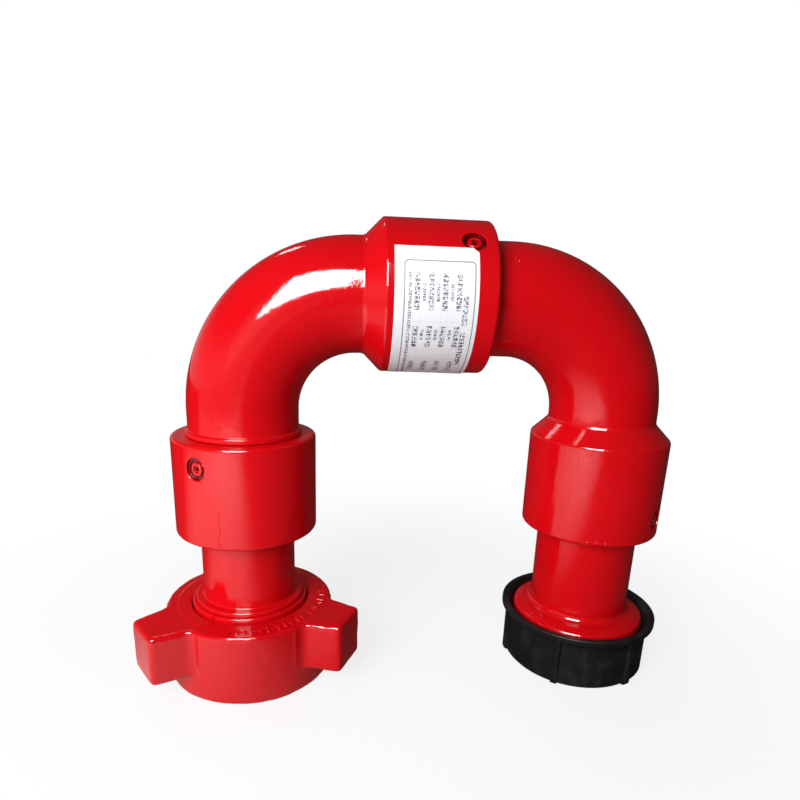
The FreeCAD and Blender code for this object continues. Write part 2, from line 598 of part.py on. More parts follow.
def make_wing_nut():
    """The hammer nut: threaded skirt, load shoulder and three striking lugs."""
    body = new_body("wing_nut")
    lug = new_sketch(body, "lug_plan", "XY_Plane", Z_AXIS, "lug_angle", {"z": "lug_bottom"})
    outline(lug, [
        ("nut_relief_radius + nut_relief", "- lug_root_width / 2"),
        ("lug_reach", "- lug_tip_width / 2"), ("lug_reach", "lug_tip_width / 2"),
        ("nut_relief_radius + nut_relief", "lug_root_width / 2")])
    skirt = new_sketch(body, "skirt")
    outline(skirt, [
        ("nut_thread_radius + nut_lead", "0"), ("nut_radius", "0"), ("nut_radius", "nut_height"),
        ("nut_lip_radius", "nut_height"), ("nut_lip_radius", "nut_lip_bottom"),
        ("nut_relief_radius", "nut_lip_bottom"),
        ("nut_relief_radius", "nut_lip_bottom - nut_lip_height"),
        ("nut_thread_radius", "nut_lip_bottom - nut_lip_height - nut_relief / 2"),
        ("nut_thread_radius", "nut_lead")])
    turned(body, skirt, "V_Axis")
    pad = body.newObject("PartDesign::Pad", "lug")
    pad.Profile = lug
    pad.setExpression("Length", qualify("nut_height - lug_bottom"))
    pattern = body.newObject("PartDesign::PolarPattern", "lugs")
    pattern.Originals = [pad]
    pattern.Axis = (lug, ["N_Axis"])
    pattern.Angle = 360.0
    pattern.setExpression("Occurrences", "Sizes.lug_count")
    body.Tip = pattern
    doc.recompute()

    def upright(nearest, farthest):
        def test(edge):
            if not isinstance(edge.Curve, Part.Line):
                return False
            if abs(abs(edge.Curve.Direction.dot(Z_AXIS)) - 1) > 0.001:
                return False
            spot = edge.valueAt(edge.FirstParameter)
            return nearest < math.hypot(spot.x, spot.y) < farthest
        return test

    nut_radius = size("nut_radius")
    rounded(body, "lug_roots", "lug_fillet", upright(nut_radius - 1, nut_radius + 1))
    rounded(body, "lug_corners", "lug_edge", upright(nut_radius + 1, 2 * nut_radius))

    def rim(height):
        def test(edge):
            ends = [vertex.Z for vertex in edge.Vertexes]
            middle = edge.valueAt((edge.FirstParameter + edge.LastParameter) / 2)
            if max(abs(end - height) for end in ends + [middle.z]) > 0.01:
                return False
            return middle.distanceToPoint(Vector(0, 0, height)) > nut_radius - 1
        return test

    rounded(body, "top_rounding", "nut_edge", rim(size("nut_height")))
    return body


def make_thread_sub(place):
    """The right forging: male end, neck, threaded hub and the seat for a union nose."""
    body = new_body("thread_sub", place)
    sketch = new_sketch(body, "outside")
    outline(sketch, [
        ("0", "hub_face"), ("hub_radius - hub_lead", "hub_face"),
        ("hub_radius", "hub_face + hub_lead"), ("hub_radius", "hub_shoulder - hub_collar_height"),
        ("hub_collar_radius", "hub_shoulder - hub_collar_height"),
        ("hub_collar_radius", "hub_shoulder"), ("hub_slope_start", "hub_top"),
        ("right_neck_radius", "hub_top"), ("right_neck_radius", "right_mouth - shoulder_gap"),
        ("0", "right_mouth - shoulder_gap")])
    turned(body, sketch, "V_Axis")
    rounded(body, "hub_rounding", "hub_fillet",
            circle_edge(size("right_neck_radius"), Z_AXIS, size("hub_top")))
    rounded(body, "hub_edge_rounding", "hub_edge",
            circle_edge(size("hub_collar_radius"), Z_AXIS, size("hub_shoulder")))
    add_male_end(body, SUB_MALE, shoulder=False)
    seat = new_sketch(body, "seat")
    outline(seat, [
        ("0", "hub_face - 1"), ("seat_mouth_radius", "hub_face - 1"),
        ("seat_mouth_radius", "hub_face"), ("seal_pocket_radius", "seat_end"),
        ("seal_pocket_radius", "seal_pocket_end"), ("0", "seal_pocket_end")])
    turned(body, seat, "V_Axis", cut=True)
    bore_through(body, "hub_face", "right_mouth + male_length + 1")
    seal = new_body("union_seal", place)
    section = new_sketch(seal, "seal_section")
    outline(section, [
        ("bore_radius", "seat_end + seat_gap"), ("seal_pocket_radius - seat_gap", "seat_end + seat_gap"),
        ("seal_pocket_radius - seat_gap", "seal_pocket_end - seat_gap"),
        ("bore_radius", "seal_pocket_end - seat_gap")])
    turned(seal, section, "V_Axis")


def make_thread_cap(place):
    """The plastic protector screwed over the hub's thread, with its lip and grip ribs."""
    body = new_body("thread_cap", place)
    rib = new_sketch(body, "rib_plan", "XY_Plane", Z_AXIS, "cap_rib_angle")
    outline(rib, [
        ("cap_radius - cap_edge", "- cap_rib_width / 2"),
        ("cap_radius + cap_rib_proud", "- cap_rib_width / 2"),
        ("cap_radius + cap_rib_proud", "cap_rib_width / 2"),
        ("cap_radius - cap_edge", "cap_rib_width / 2")])
    wall = new_sketch(body, "wall")
    outline(wall, [
        ("0", "0"), ("cap_radius - cap_edge", "0"), ("cap_radius", "cap_edge"),
        ("cap_radius", "cap_lip_bottom"), ("cap_lip_radius", "cap_lip_bottom"),
        ("cap_lip_radius", "cap_height"), ("cap_mouth_radius", "cap_height"),
        ("cap_inner", "cap_mouth_bottom"), ("cap_inner", "cap_floor"), ("0", "cap_floor")])
    turned(body, wall, "V_Axis")
    pad = body.newObject("PartDesign::Pad", "rib")
    pad.Profile = rib
    pad.setExpression("Length", "Layout.cap_lip_bottom")
    pattern = body.newObject("PartDesign::PolarPattern", "ribs")
    pattern.Originals = [pad]
    pattern.Axis = (rib, ["N_Axis"])
    pattern.Angle = 360.0
    pattern.setExpression("Occurrences", "Sizes.cap_rib_count")
    body.Tip = pattern
    doc.recompute()
    rounded(body, "lip_rounding", "cap_lip_round",
            circle_edge(size("cap_lip_radius"), Z_AXIS, size("cap_height")))
    rounded(body, "lip_under_rounding", "cap_lip_round",
            circle_edge(size("cap_lip_radius"), Z_AXIS, size("cap_lip_bottom")))


def make_label(place):
    """The paper label wrapped round the front of the middle cup."""
    body = new_body("paper_label", place)
    sheet = new_sketch(body, "paper", "XZ_Plane", X_AXIS, "90 - label_top_angle")
    outline(sheet, [
        ("label_left", "label_inner"), ("label_left", "label_outer"),
        ("label_right", "label_outer"), ("label_right", "label_inner")])
    turned(body, sheet, "H_Axis", angle="label_top_angle - label_bottom_angle")


left_elbow_place = Placement(Vector(0, 0, size("axis_height")), Rotation())
right_elbow_place = Placement(
    Vector(size("leg_spacing"), 0, size("axis_height")), Rotation(Y_AXIS, 90))
right_leg_place = Placement(Vector(size("leg_spacing"), 0, 0), Rotation())

make_wing_sub()
make_segments()
make_wing_nut()
make_elbow("left_elbow", left_elbow_place)
make_elbow("right_elbow", right_elbow_place)
make_thread_sub(right_leg_place)
make_thread_cap(right_leg_place)
make_label(left_elbow_place)
cup_fittings("left", SUB_CUP, Placement())
cup_fittings("middle", ELBOW_CUP, left_elbow_place)
cup_fittings("right", ELBOW_CUP, right_elbow_place)
doc.recompute()

for item in doc.Objects:
    if "Invalid" in item.State or "Error" in item.State:
        raise RuntimeError(item.Name + " has failed: " + str(item.State))
os.makedirs("parts", exist_ok=True)
for body in nodes:
    if body.Shape.isNull() or not body.Shape.isValid():
        raise RuntimeError(body.Label + " has no valid shape")
for body in nodes:
    body.Shape.exportStep("parts/%s.step" % body.Label)
    print(body.Label, len(body.Shape.Solids), round(body.Shape.Volume, 1))
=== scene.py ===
import json
import math
from itertools import cycle

import bmesh
import bpy
from bpy.props import FloatProperty, FloatVectorProperty, IntProperty, PointerProperty
from mathutils import Matrix, Vector


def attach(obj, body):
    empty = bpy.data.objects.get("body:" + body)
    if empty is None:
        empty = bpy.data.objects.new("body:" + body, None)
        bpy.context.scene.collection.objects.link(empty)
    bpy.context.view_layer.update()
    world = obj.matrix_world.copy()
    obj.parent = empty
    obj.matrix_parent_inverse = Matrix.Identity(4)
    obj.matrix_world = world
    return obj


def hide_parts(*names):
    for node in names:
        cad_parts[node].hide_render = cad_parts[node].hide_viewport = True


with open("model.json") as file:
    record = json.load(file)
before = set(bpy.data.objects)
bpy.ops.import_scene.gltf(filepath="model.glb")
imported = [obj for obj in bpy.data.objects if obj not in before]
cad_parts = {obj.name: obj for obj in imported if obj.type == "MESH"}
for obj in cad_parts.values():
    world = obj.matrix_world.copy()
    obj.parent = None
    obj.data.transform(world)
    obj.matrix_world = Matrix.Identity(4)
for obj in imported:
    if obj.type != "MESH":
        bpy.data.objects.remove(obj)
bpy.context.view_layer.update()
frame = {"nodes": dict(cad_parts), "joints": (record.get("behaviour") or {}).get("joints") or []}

bl_info = {
    "name": "Swivel Joint Dress",
    "version": (1, 0, 0),
    "blender": (4, 5, 0),
    "location": "View3D > Sidebar > Swivel Joint",
    "description": "Painted forgings, wing nut, ball plugs, thread cap and label of a swivel joint",
    "category": "Object",
}

# Places of the three swivels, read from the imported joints
JOINTS = {joint["name"]: Vector(joint["pos_m"]) for joint in frame["joints"] if "pos_m" in joint}
LEFT_MOUTH = JOINTS["left_swivel"].z
MIDDLE_MOUTH = JOINTS["middle_swivel"].x
AXIS_HEIGHT = JOINTS["middle_swivel"].z
LEG_SPACING = JOINTS["right_swivel"].x
RIGHT_MOUTH = JOINTS["right_swivel"].z
LEFT_LEG = Vector((0, 0, 0))
RIGHT_LEG = Vector((LEG_SPACING, 0, 0))

X_AXIS = Vector((1, 0, 0))
Y_AXIS = Vector((0, 1, 0))
Z_AXIS = Vector((0, 0, 1))
QUARTER_TURN = math.pi / 2
THIRD_TURN = math.tau / 3
ROWS = range(3)
THIRDS = range(3)
WELD = 1e-6         # corners closer than this become one
NEAR = WELD * 20    # how near a corner lies to the ring or end that is looked for
SEAT_GAP = 0.00005  # between two pieces that rest on each other
FIT_GAP = 0.0001    # between a piece and the hole round it
CUTTER_REACH = 0.001    # how far a cutter stands out of what it cuts
CUTTER_HEIGHT = 0.01    # height of a cutter that goes right through thin stuff


def length(name, description, default):
    """A setting in metres."""
    return FloatProperty(name=name, description=description, default=default,
                         unit="LENGTH", subtype="DISTANCE", precision=5)


def angle(name, description, degrees):
    """A setting that turns something."""
    return FloatProperty(name=name, description=description, default=math.radians(degrees),
                         subtype="ANGLE")


def colour(name, description, default):
    """A linear colour setting."""
    return FloatVectorProperty(name=name, description=description, default=default,
                               subtype="COLOR", size=3, min=0, max=1)


class SwivelSizes(bpy.types.PropertyGroup):
    """Sizes that the elbows and both subs share."""
    flow_bore: length("Flow bore", "Diameter of the flow line", 0.04445)
    tube: length("Tube", "Outside diameter of the elbow tube", 0.076)
    bend_radius: length("Bend radius", "Radius of the elbow's centre line", 0.0775)
    cup: length("Cup", "Outside diameter of a swivel cup", 0.0995)
    cup_length: length("Cup length", "Straight length of a swivel cup", 0.07)
    cone_length: length("Cone length", "Length of the slope from tube to cup", 0.01175)
    socket: length("Socket", "Diameter of the socket that the male end turns in", 0.0754)
    barrel: length("Barrel", "Diameter of the male end", 0.0746)
    male_length: length("Male length", "Depth that the male end reaches into the cup", 0.051)
    male_chamfer: length("Male chamfer", "Lead-in at the end of the male barrel", 0.002)
    race_radius: length("Race radius", "Radius of the ball races' section", 0.0049625)
    first_row: length("First ball row", "Depth of the first ball row from the mouth", 0.0155)
    row_pitch: length("Row pitch", "Distance between ball rows", 0.0125)
    socket_floor: length("Socket floor", "Depth of the socket's floor", 0.0515)
    chamber_floor: length("Chamber floor", "Depth of the packing chamber's floor", 0.0601)
    chamber: length("Chamber", "Diameter of the packing chamber", 0.06255)
    dust_depth: length("Dust groove depth", "Where the dust seal's groove starts", 0.00415)
    dust_width: length("Dust groove width", "Width of the dust seal's groove", 0.0031)
    dust_groove: length("Dust groove", "Diameter of the dust seal's groove", 0.0815)
    shoulder: length("Shoulder", "Diameter of the ring at the elbow's male end", 0.08)
    shoulder_width: length("Shoulder width", "Width of that ring", 0.0034)
    shoulder_gap: length("Shoulder gap", "Running gap between ring and cup", 0.0004)
    mouth_round: length("Mouth rounding", "Rounding of a cup's mouth", 0.0025)
    cone_round: length("Cone rounding", "Rounding where slope and cup meet", 0.0011)
    cone_foot_round: length("Cone foot rounding", "Softening where tube and slope meet", 0.00176)
    shoulder_round: length("Shoulder rounding", "Rounding of the ring's far edge", 0.0011)
    shoulder_edge: length("Shoulder edge", "Rounding of the ring's edge beside the cup", 0.0004)
    shoulder_fillet: length("Shoulder fillet", "Fillet between ring and tube", 0.0006)
    corners: IntProperty(name="Corners", description="Corners of each turned ring",
                         default=144, min=24, max=256)
    bend_steps: IntProperty(name="Bend steps", description="Rings round an elbow's bend",
                            default=40, min=8, max=96)


class PortSizes(bpy.types.PropertyGroup):
    """Sizes of the ball loading ports and of what closes them."""
    hole: length("Hole", "Diameter of the ball hole", 0.0102)
    counterbore: length("Counterbore", "Diameter of the plug's seat", 0.0148)
    floor: length("Floor", "Height of the seat above the cup's axis", 0.04415)
    lip: length("Lip", "Softening of the port's rim", 0.0009)
    flange: length("Flange", "Thickness of the plug's flange", 0.0022)
    boss: length("Boss", "Diameter of the plug's boss", 0.0088)
    boss_top: length("Boss top", "Height of the boss above the cup's axis", 0.04845)
    clip_thickness: length("Clip thickness", "Thickness of the retaining clip", 0.0011)
    clip_width: length("Clip width", "Width of the retaining clip's band", 0.0017)
    clip_gap: angle("Clip gap", "Opening of the retaining clip", 46.0)
    clip_ear: length("Clip ear", "Diameter of the clip's plier eyes", 0.0026)
    screw: length("Screw", "Diameter of the grease screw", 0.0048)
    screw_length: length("Screw length", "Length of the grease screw", 0.0034)
    screw_top: length("Screw top", "Height of the screw above the cup's axis", 0.04745)
    socket: length("Key socket", "Width of the screw's hexagon socket", 0.0028)
    socket_depth: length("Key socket depth", "Depth of the hexagon socket", 0.0018)
    step: angle("Port step", "Turn from one port to the next", 60.0)
    left_first: angle("First left port", "Azimuth of the left cup's first port", -121.0)
    elbow_first: angle("First elbow port", "Turn of an elbow's first port from its top", 46.0)


class LeftSubSizes(bpy.types.PropertyGroup):
    """Sizes of the left forging's outside, from its nose to its cup."""
    nose: length("Nose", "Diameter of the nose", 0.076)
    nose_height: length("Nose height", "Height of the nose's step", 0.015)
    nose_round: length("Nose rounding", "Crown of the nose", 0.01)
    head: length("Head", "Diameter of the head behind the nose", 0.084)
    head_top: length("Head top", "Height of the head's upper face", 0.035)
    neck: length("Neck", "Diameter of the neck", 0.067)
    collar: length("Collar", "Diameter of the collar over the nut", 0.0785)
    collar_bottom: length("Collar bottom", "Height of the collar's lower face", 0.05655)
    collar_top: length("Collar top", "Height of the collar's upper face", 0.05955)
    segment_flange: length("Segment flange", "Diameter of the load segments' flange", 0.095)
    segment_sleeve: length("Segment sleeve", "Diameter of the load segments' sleeve", 0.0842)
    segment_step: length("Segment step", "Height of the flange's upper face", 0.04205)
    segment_slot: length("Segment slot", "Gap between two segments", 0.0004)
    segment_round: length("Segment rounding", "Rounding of the sleeve's upper edge", 0.0014)
    neck_fillet: length("Neck fillet", "Fillet at both ends of the neck", 0.0012)
    collar_round: length("Collar rounding", "Rounding of the collar's upper edge", 0.0014)
    collar_edge: length("Collar edge", "Rounding of the collar's lower edge", 0.0006)
    head_round: length("Head rounding", "Rounding of the head's upper edge", 0.0012)
    step_round: length("Step rounding", "Rounding of the head's edge over the nose", 0.0015)


class NutSizes(bpy.types.PropertyGroup):
    """Sizes of the wing nut."""
    outside: length("Outside", "Diameter of the nut's skirt", 0.122)
    height: length("Height", "Height of the nut", 0.0535)
    thread: length("Thread", "Diameter of the thread's root", 0.1006)
    lip: length("Lip", "Diameter of the hole in the nut's top", 0.0854)
    lip_bottom: length("Lip bottom", "Height of the load shoulder", 0.04265)
    relief: length("Relief", "Diameter of the relief under the lip", 0.1026)
    relief_height: length("Relief height", "Height of the relief", 0.009)
    relief_slope: length("Relief slope", "Height of the slope under the relief", 0.001)
    lead: length("Lead", "Chamfer at the thread's mouth", 0.0025)
    top_round: length("Top rounding", "Rounding of the skirt's upper edge", 0.003)
    foot_round: length("Foot rounding", "Rounding of the skirt's lower edge", 0.0018)
    lip_round: length("Lip rounding", "Rounding of the hole's upper edge", 0.001)
    thread_start: length("Thread start", "Height where the thread's ridge starts", 0.0062)
    thread_turns: FloatProperty(name="Thread turns", description="Turns of the ridge", default=2.7)
    lug_reach: length("Lug reach", "Distance from the axis to a lug's end", 0.0835)
    lug_root: length("Lug root", "Width of a lug at the skirt", 0.045)
    lug_tip: length("Lug tip", "Width of a lug at its end", 0.034)
    lug_bottom: length("Lug bottom", "Height of a lug's lower face", 0.016)
    lug_round: length("Lug rounding", "Rounding of a lug's edges", 0.0034)
    lug_blend: length("Lug blend", "Radius of the hollow where a lug leaves the skirt", 0.008)
    lug_angle: angle("Lug angle", "Azimuth of the first lug", -25.0)
    grain: length("Forging grain", "Cell size of the forging's blended skin", 0.0009)
    lumps: length("Lumps", "Depth of the forging's unevenness", 0.0009)
    lump_size: length("Lump size", "Width of the forging's unevenness", 0.014)


class CapSizes(bpy.types.PropertyGroup):
    """Sizes of the thread protector."""
    outside: length("Outside", "Diameter of the wall", 0.108)
    height: length("Height", "Height of the cap", 0.043)
    floor: length("Floor", "Thickness of the floor", 0.0036)
    inside: length("Inside", "Diameter inside the wall", 0.1002)
    foot_bevel: length("Foot bevel", "Bevel between floor and wall", 0.002)
    lip: length("Lip", "Diameter of the lip", 0.118)
    lip_height: length("Lip height", "Height of the lip's band", 0.0046)
    mouth: length("Mouth", "Diameter of the flared mouth", 0.11)
    mouth_depth: length("Mouth depth", "Depth of the flare", 0.008)
    lip_round: length("Lip rounding", "Rounding of the lip's upper edge", 0.0008)
    lip_edge: length("Lip edge", "Rounding of the lip's lower edge", 0.0007)
    mouth_round: length("Mouth rounding", "Rounding of the mouth's edge", 0.0006)
    lip_fillet: length("Lip fillet", "Fillet between wall and lip", 0.0012)
    rib_width: length("Rib width", "Width of a grip rib", 0.005)
    rib_proud: length("Rib height", "How far a rib stands out", 0.0026)
    rib_start: length("Rib start", "Height where a rib starts", 0.0002)
    rib_foot: length("Rib foot", "Slope at a rib's lower end", 0.0021)
    rib_round: length("Rib rounding", "Rounding of a rib's edges", 0.0008)
    rib_angle: angle("Rib angle", "Azimuth of the first rib", 56.0)
    rib_count: IntProperty(name="Ribs", description="Number of grip ribs", default=6, min=1)


class RightSubSizes(bpy.types.PropertyGroup):
    """Sizes of the right forging's outside, from its face to its neck."""
    neck: length("Neck", "Diameter of the neck", 0.0734)
    thread_root: length("Thread root", "Diameter of the hub under its thread", 0.0952)
    collar: length("Collar", "Diameter of the hub's collar", 0.0996)
    collar_bottom: length("Collar bottom", "Height of the collar's lower face", 0.027)
    face: length("Face", "Height of the hub's face", 0.0039)
    collar_edge: length("Collar edge", "Rounding of the collar's lower edge", 0.0006)
    thread_start: length("Thread start", "Height where the thread's ridge starts", 0.0098)
    thread_turns: FloatProperty(name="Thread turns", description="Turns of the ridge", default=1.7)
    lead: length("Lead", "Chamfer at the thread's start", 0.0025)
    shoulder: length("Shoulder", "Height of the shoulder's outer edge", 0.0415)
    shoulder_round: length("Shoulder rounding", "Width of the edge's rounding", 0.0021)
    shoulder_flat: length("Shoulder flat", "Width of the shoulder's flat beside the neck", 0.006)
    shoulder_top: length("Shoulder top", "Height of the shoulder at the neck", 0.045)
    slope_round: length("Slope rounding", "Softening where the shoulder's slope starts", 0.0028)
    neck_round: length("Neck rounding", "Fillet between shoulder and neck", 0.005)
    seat: length("Seat", "Diameter of the seat's mouth", 0.077)
    seat_end: length("Seat end", "Height where the seat's cone ends", 0.0159)
    pocket: length("Pocket", "Diameter of the seal's pocket", 0.05495)
    pocket_end: length("Pocket end", "Height of the pocket's end", 0.0236)


class ThreadSizes(bpy.types.PropertyGroup):
    """Sizes of the union thread."""
    pitch: length("Pitch", "Rise of the thread in one turn", 0.0084667)
    root_width: length("Root width", "Width of a ridge at its root", 0.0052)
    crest_width: length("Crest width", "Width of a ridge at its crest", 0.0031)
    depth: length("Depth", "Height of a ridge", 0.0021)
    steps: IntProperty(name="Steps", description="Steps of one turn", default=96, min=24)


class LabelSizes(bpy.types.PropertyGroup):
    """Sizes of the paper label on the middle cup."""
    left: length("Left edge", "Where the label starts along the cup", 0.0985)
    width: length("Width", "Size along the cup", 0.0515)
    top: angle("Top edge", "Turn of the upper edge from the front", 37.0)
    bottom: angle("Bottom edge", "Turn of the lower edge from the front", -80.0)
    thickness: length("Thickness", "Thickness of the paper", 0.0002)
    clip: length("Clipped corner", "Size of the corner that is cut off beside the port", 0.0034)
    glue: length("Glue", "Thickness of the glue under the paper", 0.00008)
    border_round: length("Border rounding", "Radius of the printed border's corners", 0.0025)
    border_line: length("Border line", "Width of the printed border's line", 0.0006)


class RunSizes(bpy.types.PropertyGroup):
    """Sizes of the runs and beads in the enamel."""
    bead: length("Bead", "Radius of a bead of paint", 0.0009)
    bead_height: length("Bead height", "How far a bead stands out", 0.0005)
    run: length("Run", "Length of the run on the left cup", 0.026)
    run_angle: angle("Run angle", "Azimuth of that run", -104.0)


class Colours(bpy.types.PropertyGroup):
    """Colours of the finishes."""
    red: colour("Red paint", "Enamel on the forgings", (0.66, 0.0025, 0.006))
    deep_red: colour("Deep red", "Enamel where it lies thick", (0.47, 0.0015, 0.004))
    # Both port tints are painted shade: darker red laid on the ports' recess walls, plug flanges,
    # clips and key sockets, where shade falls.
    port_shade_red: colour("Port red", "Enamel deep in the ports", (0.22, 0.002, 0.004))
    port_deep_shade: colour("Port deep shade", "Painted shade deep in the ports", (0.07, 0.002, 0.003))
    plastic: colour("Black plastic", "Moulded cap", (0.006, 0.006, 0.0063))
    worn_plastic: colour("Worn plastic", "Moulded cap where scuffed", (0.014, 0.014, 0.0145))
    # The paper is the label stock's white, with a faint blue cast that is a painted reflection.
    paper: colour("Paper", "Label stock", (0.84, 0.835, 0.87))
    ink: colour("Ink", "Printed bars and cells", (0.035, 0.04, 0.055))
    rubber: colour("Rubber", "Packing and seals", (0.018, 0.018, 0.018))
    ball_steel: colour("Ball steel", "Bearing balls", (0.62, 0.63, 0.65))
    spring_steel: colour("Spring steel", "Retaining wire", (0.28, 0.28, 0.29))
    brass: colour("Brass", "Backup rings", (0.62, 0.42, 0.14))


class StageSettings(bpy.types.PropertyGroup):
    """Floor, lamps and camera."""
    camera_place: FloatVectorProperty(
        name="Camera place", description="Where the photograph was taken from",
        default=(0.06544, -0.42545, 0.27939), subtype="TRANSLATION", unit="LENGTH")
    camera_turn: angle("Camera turn", "Turn to the right of +Y", 5.67)
    camera_dip: angle("Camera dip", "Tilt below the horizon", 16.73)
    camera_roll: angle("Camera roll", "Roll about the line of sight", 2.0)
    focal: length("Focal length in frame widths", "Focal length over the frame's width", 0.75872)
    shift_x: FloatProperty(name="Shift across", description="Lens shift", default=0.0060)
    shift_y: FloatProperty(name="Shift up", description="Lens shift", default=0.0923)
    floor_white: colour("Floor", "Colour of the floor", (0.92, 0.92, 0.92))
    floor_bounce: colour("Floor bounce", "Floor as the matte paint sees it", (0.4, 0.4, 0.4))
    floor_dark: colour("Dark floor", "Floor in the gloss, right and behind", (0.07, 0.06, 0.06))
    room_right: colour("Room right", "Ambient light from the right", (0.1, 0.095, 0.095))
    room_back: colour("Room behind", "Ambient light from behind the part", (1.0, 1.0, 1.0))
    room_left: colour("Room left", "Ambient light from the left", (0.5, 0.52, 0.54))
    gloss_dark: colour("Dark reflection", "Room that the gloss shows", (0.05, 0.045, 0.045))
    gloss_left: colour("Left reflection", "Room low on the left, in the gloss", (0.42, 0.43, 0.45))


SETTINGS = {
    "swivel_sizes": SwivelSizes, "swivel_ports": PortSizes, "swivel_left_sub": LeftSubSizes,
    "swivel_nut": NutSizes, "swivel_cap": CapSizes, "swivel_right_sub": RightSubSizes,
    "swivel_thread": ThreadSizes, "swivel_label": LabelSizes, "swivel_runs": RunSizes,
    "swivel_colours": Colours, "swivel_stage": StageSettings,
}


# Modelling steps

def deselect():
    """Leaves edit mode and selects nothing."""
    if bpy.context.mode != "OBJECT":
        bpy.ops.object.mode_set(mode="OBJECT")
    bpy.ops.object.select_all(action="DESELECT")


def pick(*pieces):
    """Selects only these pieces, the first one active."""
    deselect()
    for piece in pieces:
        piece.select_set(True)
    bpy.context.view_layer.objects.active = pieces[0]


def settle():
    """Moves the active piece's place and turn into its mesh."""
    bpy.ops.object.transform_apply(location=True, rotation=True, scale=True)


def move_to(piece, place):
    """Moves a piece, with its new place kept in its mesh."""
    pick(piece)
    piece.location = place
    settle()


def modify(piece, kind, **settings):
    """Adds a modifier with these settings to a piece and applies it."""
    pick(piece)
    bpy.ops.object.modifier_add(type=kind)
    modifier = piece.modifiers[-1]
    for name, value in settings.items():
        setattr(modifier, name, value)
    bpy.ops.object.modifier_apply(modifier=modifier.name)


def name_piece(piece, name):
    piece.name = name
    piece.data.name = name


def remove(piece):
    pick(piece)
    bpy.ops.object.delete()


class RingPath:
    """A ring of corners that is drawn along an axis and round bends, as a lathe draws a wall."""

    def __init__(self, name, place, radius, corners):
        deselect()
        bpy.ops.mesh.primitive_circle_add(
            vertices=corners, radius=radius, fill_type="NOTHING", location=(0, 0, place))
        self.piece = bpy.context.object
        name_piece(self.piece, name)
        settle()
        bpy.ops.object.mode_set(mode="EDIT")
        bpy.ops.mesh.select_all(action="SELECT")
        self.centre = Vector((0, 0, place))
        self.direction = Z_AXIS.copy()
        self.radius = radius

    def to(self, place, radius=None):
        """Draws the wall to a place along the present axis, and to a radius there."""
        move = self.direction * (place - self.centre.dot(self.direction))
        self.centre = self.centre + move
        bpy.ops.mesh.extrude_region_move(TRANSFORM_OT_translate={"value": move})
        if radius is not None and radius != self.radius:
            ratio = radius / self.radius
            bpy.ops.transform.resize(value=(ratio, ratio, ratio), center_override=self.centre)
            self.radius = radius

    def through(self, *stops):
        """Draws the wall through several pairs of place and radius."""
        for place, radius in stops:
            self.to(place, radius)

    def bend(self, turn, pivot, axis, steps):
        """Carries the ring round a bend."""
        bpy.ops.mesh.spin(steps=steps, angle=-turn, center=pivot, axis=axis)
        rotation = Matrix.Rotation(turn, 3, axis)
        self.centre = Vector(pivot) + rotation @ (self.centre - Vector(pivot))
        self.direction = rotation @ self.direction

    def fill(self):
        """Closes the first ring with a face, and draws the face along from there."""
        bpy.ops.mesh.edge_face_add()
        bpy.ops.mesh.select_all(action="SELECT")

    def close(self):
        """Welds the last ring to the first, or a filled end to its wall, and turns faces out."""
        bpy.ops.mesh.select_all(action="SELECT")
        bpy.ops.mesh.remove_doubles(threshold=WELD)
        bpy.ops.mesh.normals_make_consistent(inside=False)
        bpy.ops.object.mode_set(mode="OBJECT")
        return self.piece


def select_edges(piece, test):
    """In edit mode, selects only the edges whose two ends pass a test."""
    mesh = bmesh.from_edit_mesh(piece.data)
    for part in (*mesh.verts, *mesh.edges, *mesh.faces):
        part.select = False
    found = [edge for edge in mesh.edges if all(test(corner.co) for corner in edge.verts)]
    for edge in found:
        edge.select = True
        for corner in edge.verts:
            corner.select = True
    bmesh.update_edit_mesh(piece.data)
    if not found:
        raise RuntimeError(piece.name + " has no edge there")


def on_ring(axis, place, radius):
    """A test for the corners of one ring round an axis through the origin."""
    def test(corner):
        along = corner.dot(axis)
        away = (corner - axis * along).length
        return abs(along - place) < NEAR and abs(away - radius) < NEAR
    return test


def bevel_edges(piece, edges, segments=4):
    """Bevels edges given as a test that finds them and a width, one after the other."""
    pick(piece)
    bpy.ops.object.mode_set(mode="EDIT")
    bpy.ops.mesh.select_mode(type="EDGE")
    for test, width in edges:
        select_edges(piece, test)
        bpy.ops.mesh.bevel(offset=width, offset_type="OFFSET", segments=segments, affect="EDGES",
                           clamp_overlap=False)
    bpy.ops.mesh.select_mode(type="VERT")
    bpy.ops.object.mode_set(mode="OBJECT")


def round_rings(piece, axis, rings, segments=4):
    """Rounds rings given as place, radius and width of the rounding."""
    edges = [(on_ring(axis, place, radius), width) for place, radius, width in rings]
    bevel_edges(piece, edges, segments)


def shade_faces(piece, material, other, test):
    """Gives a piece one finish, and another where a face's middle passes a test."""
    piece.data.materials.clear()
    piece.data.materials.append(material)
    piece.data.materials.append(other)
    for face in piece.data.polygons:
        face.material_index = int(test(face.center))


def cut_away(piece, cutter):
    """Cuts one closed piece out of another; the cut faces take the cutter's finish."""
    modify(piece, "BOOLEAN", operation="DIFFERENCE", solver="EXACT", material_mode="TRANSFER",
           object=cutter)
    remove(cutter)


def smooth(piece, degrees=32):
    """Shades a piece smooth up to an angle, with its flat stretches kept flat."""
    pick(piece)
    bpy.ops.object.shade_smooth_by_angle(angle=math.radians(degrees))
    modify(piece, "WEIGHTED_NORMAL", keep_sharp=True)


def placed_copy(piece, name, place):
    """A copy with its own mesh, moved to a place that is then in its mesh."""
    pick(piece)
    bpy.ops.object.duplicate(linked=False)
    twin = bpy.context.object
    name_piece(twin, name)
    twin.matrix_world = place
    settle()
    return twin


def joined(name, pieces):
    """Several meshes as one piece."""
    pick(*pieces)
    bpy.ops.object.join()
    piece = bpy.context.object
    name_piece(piece, name)
    return piece


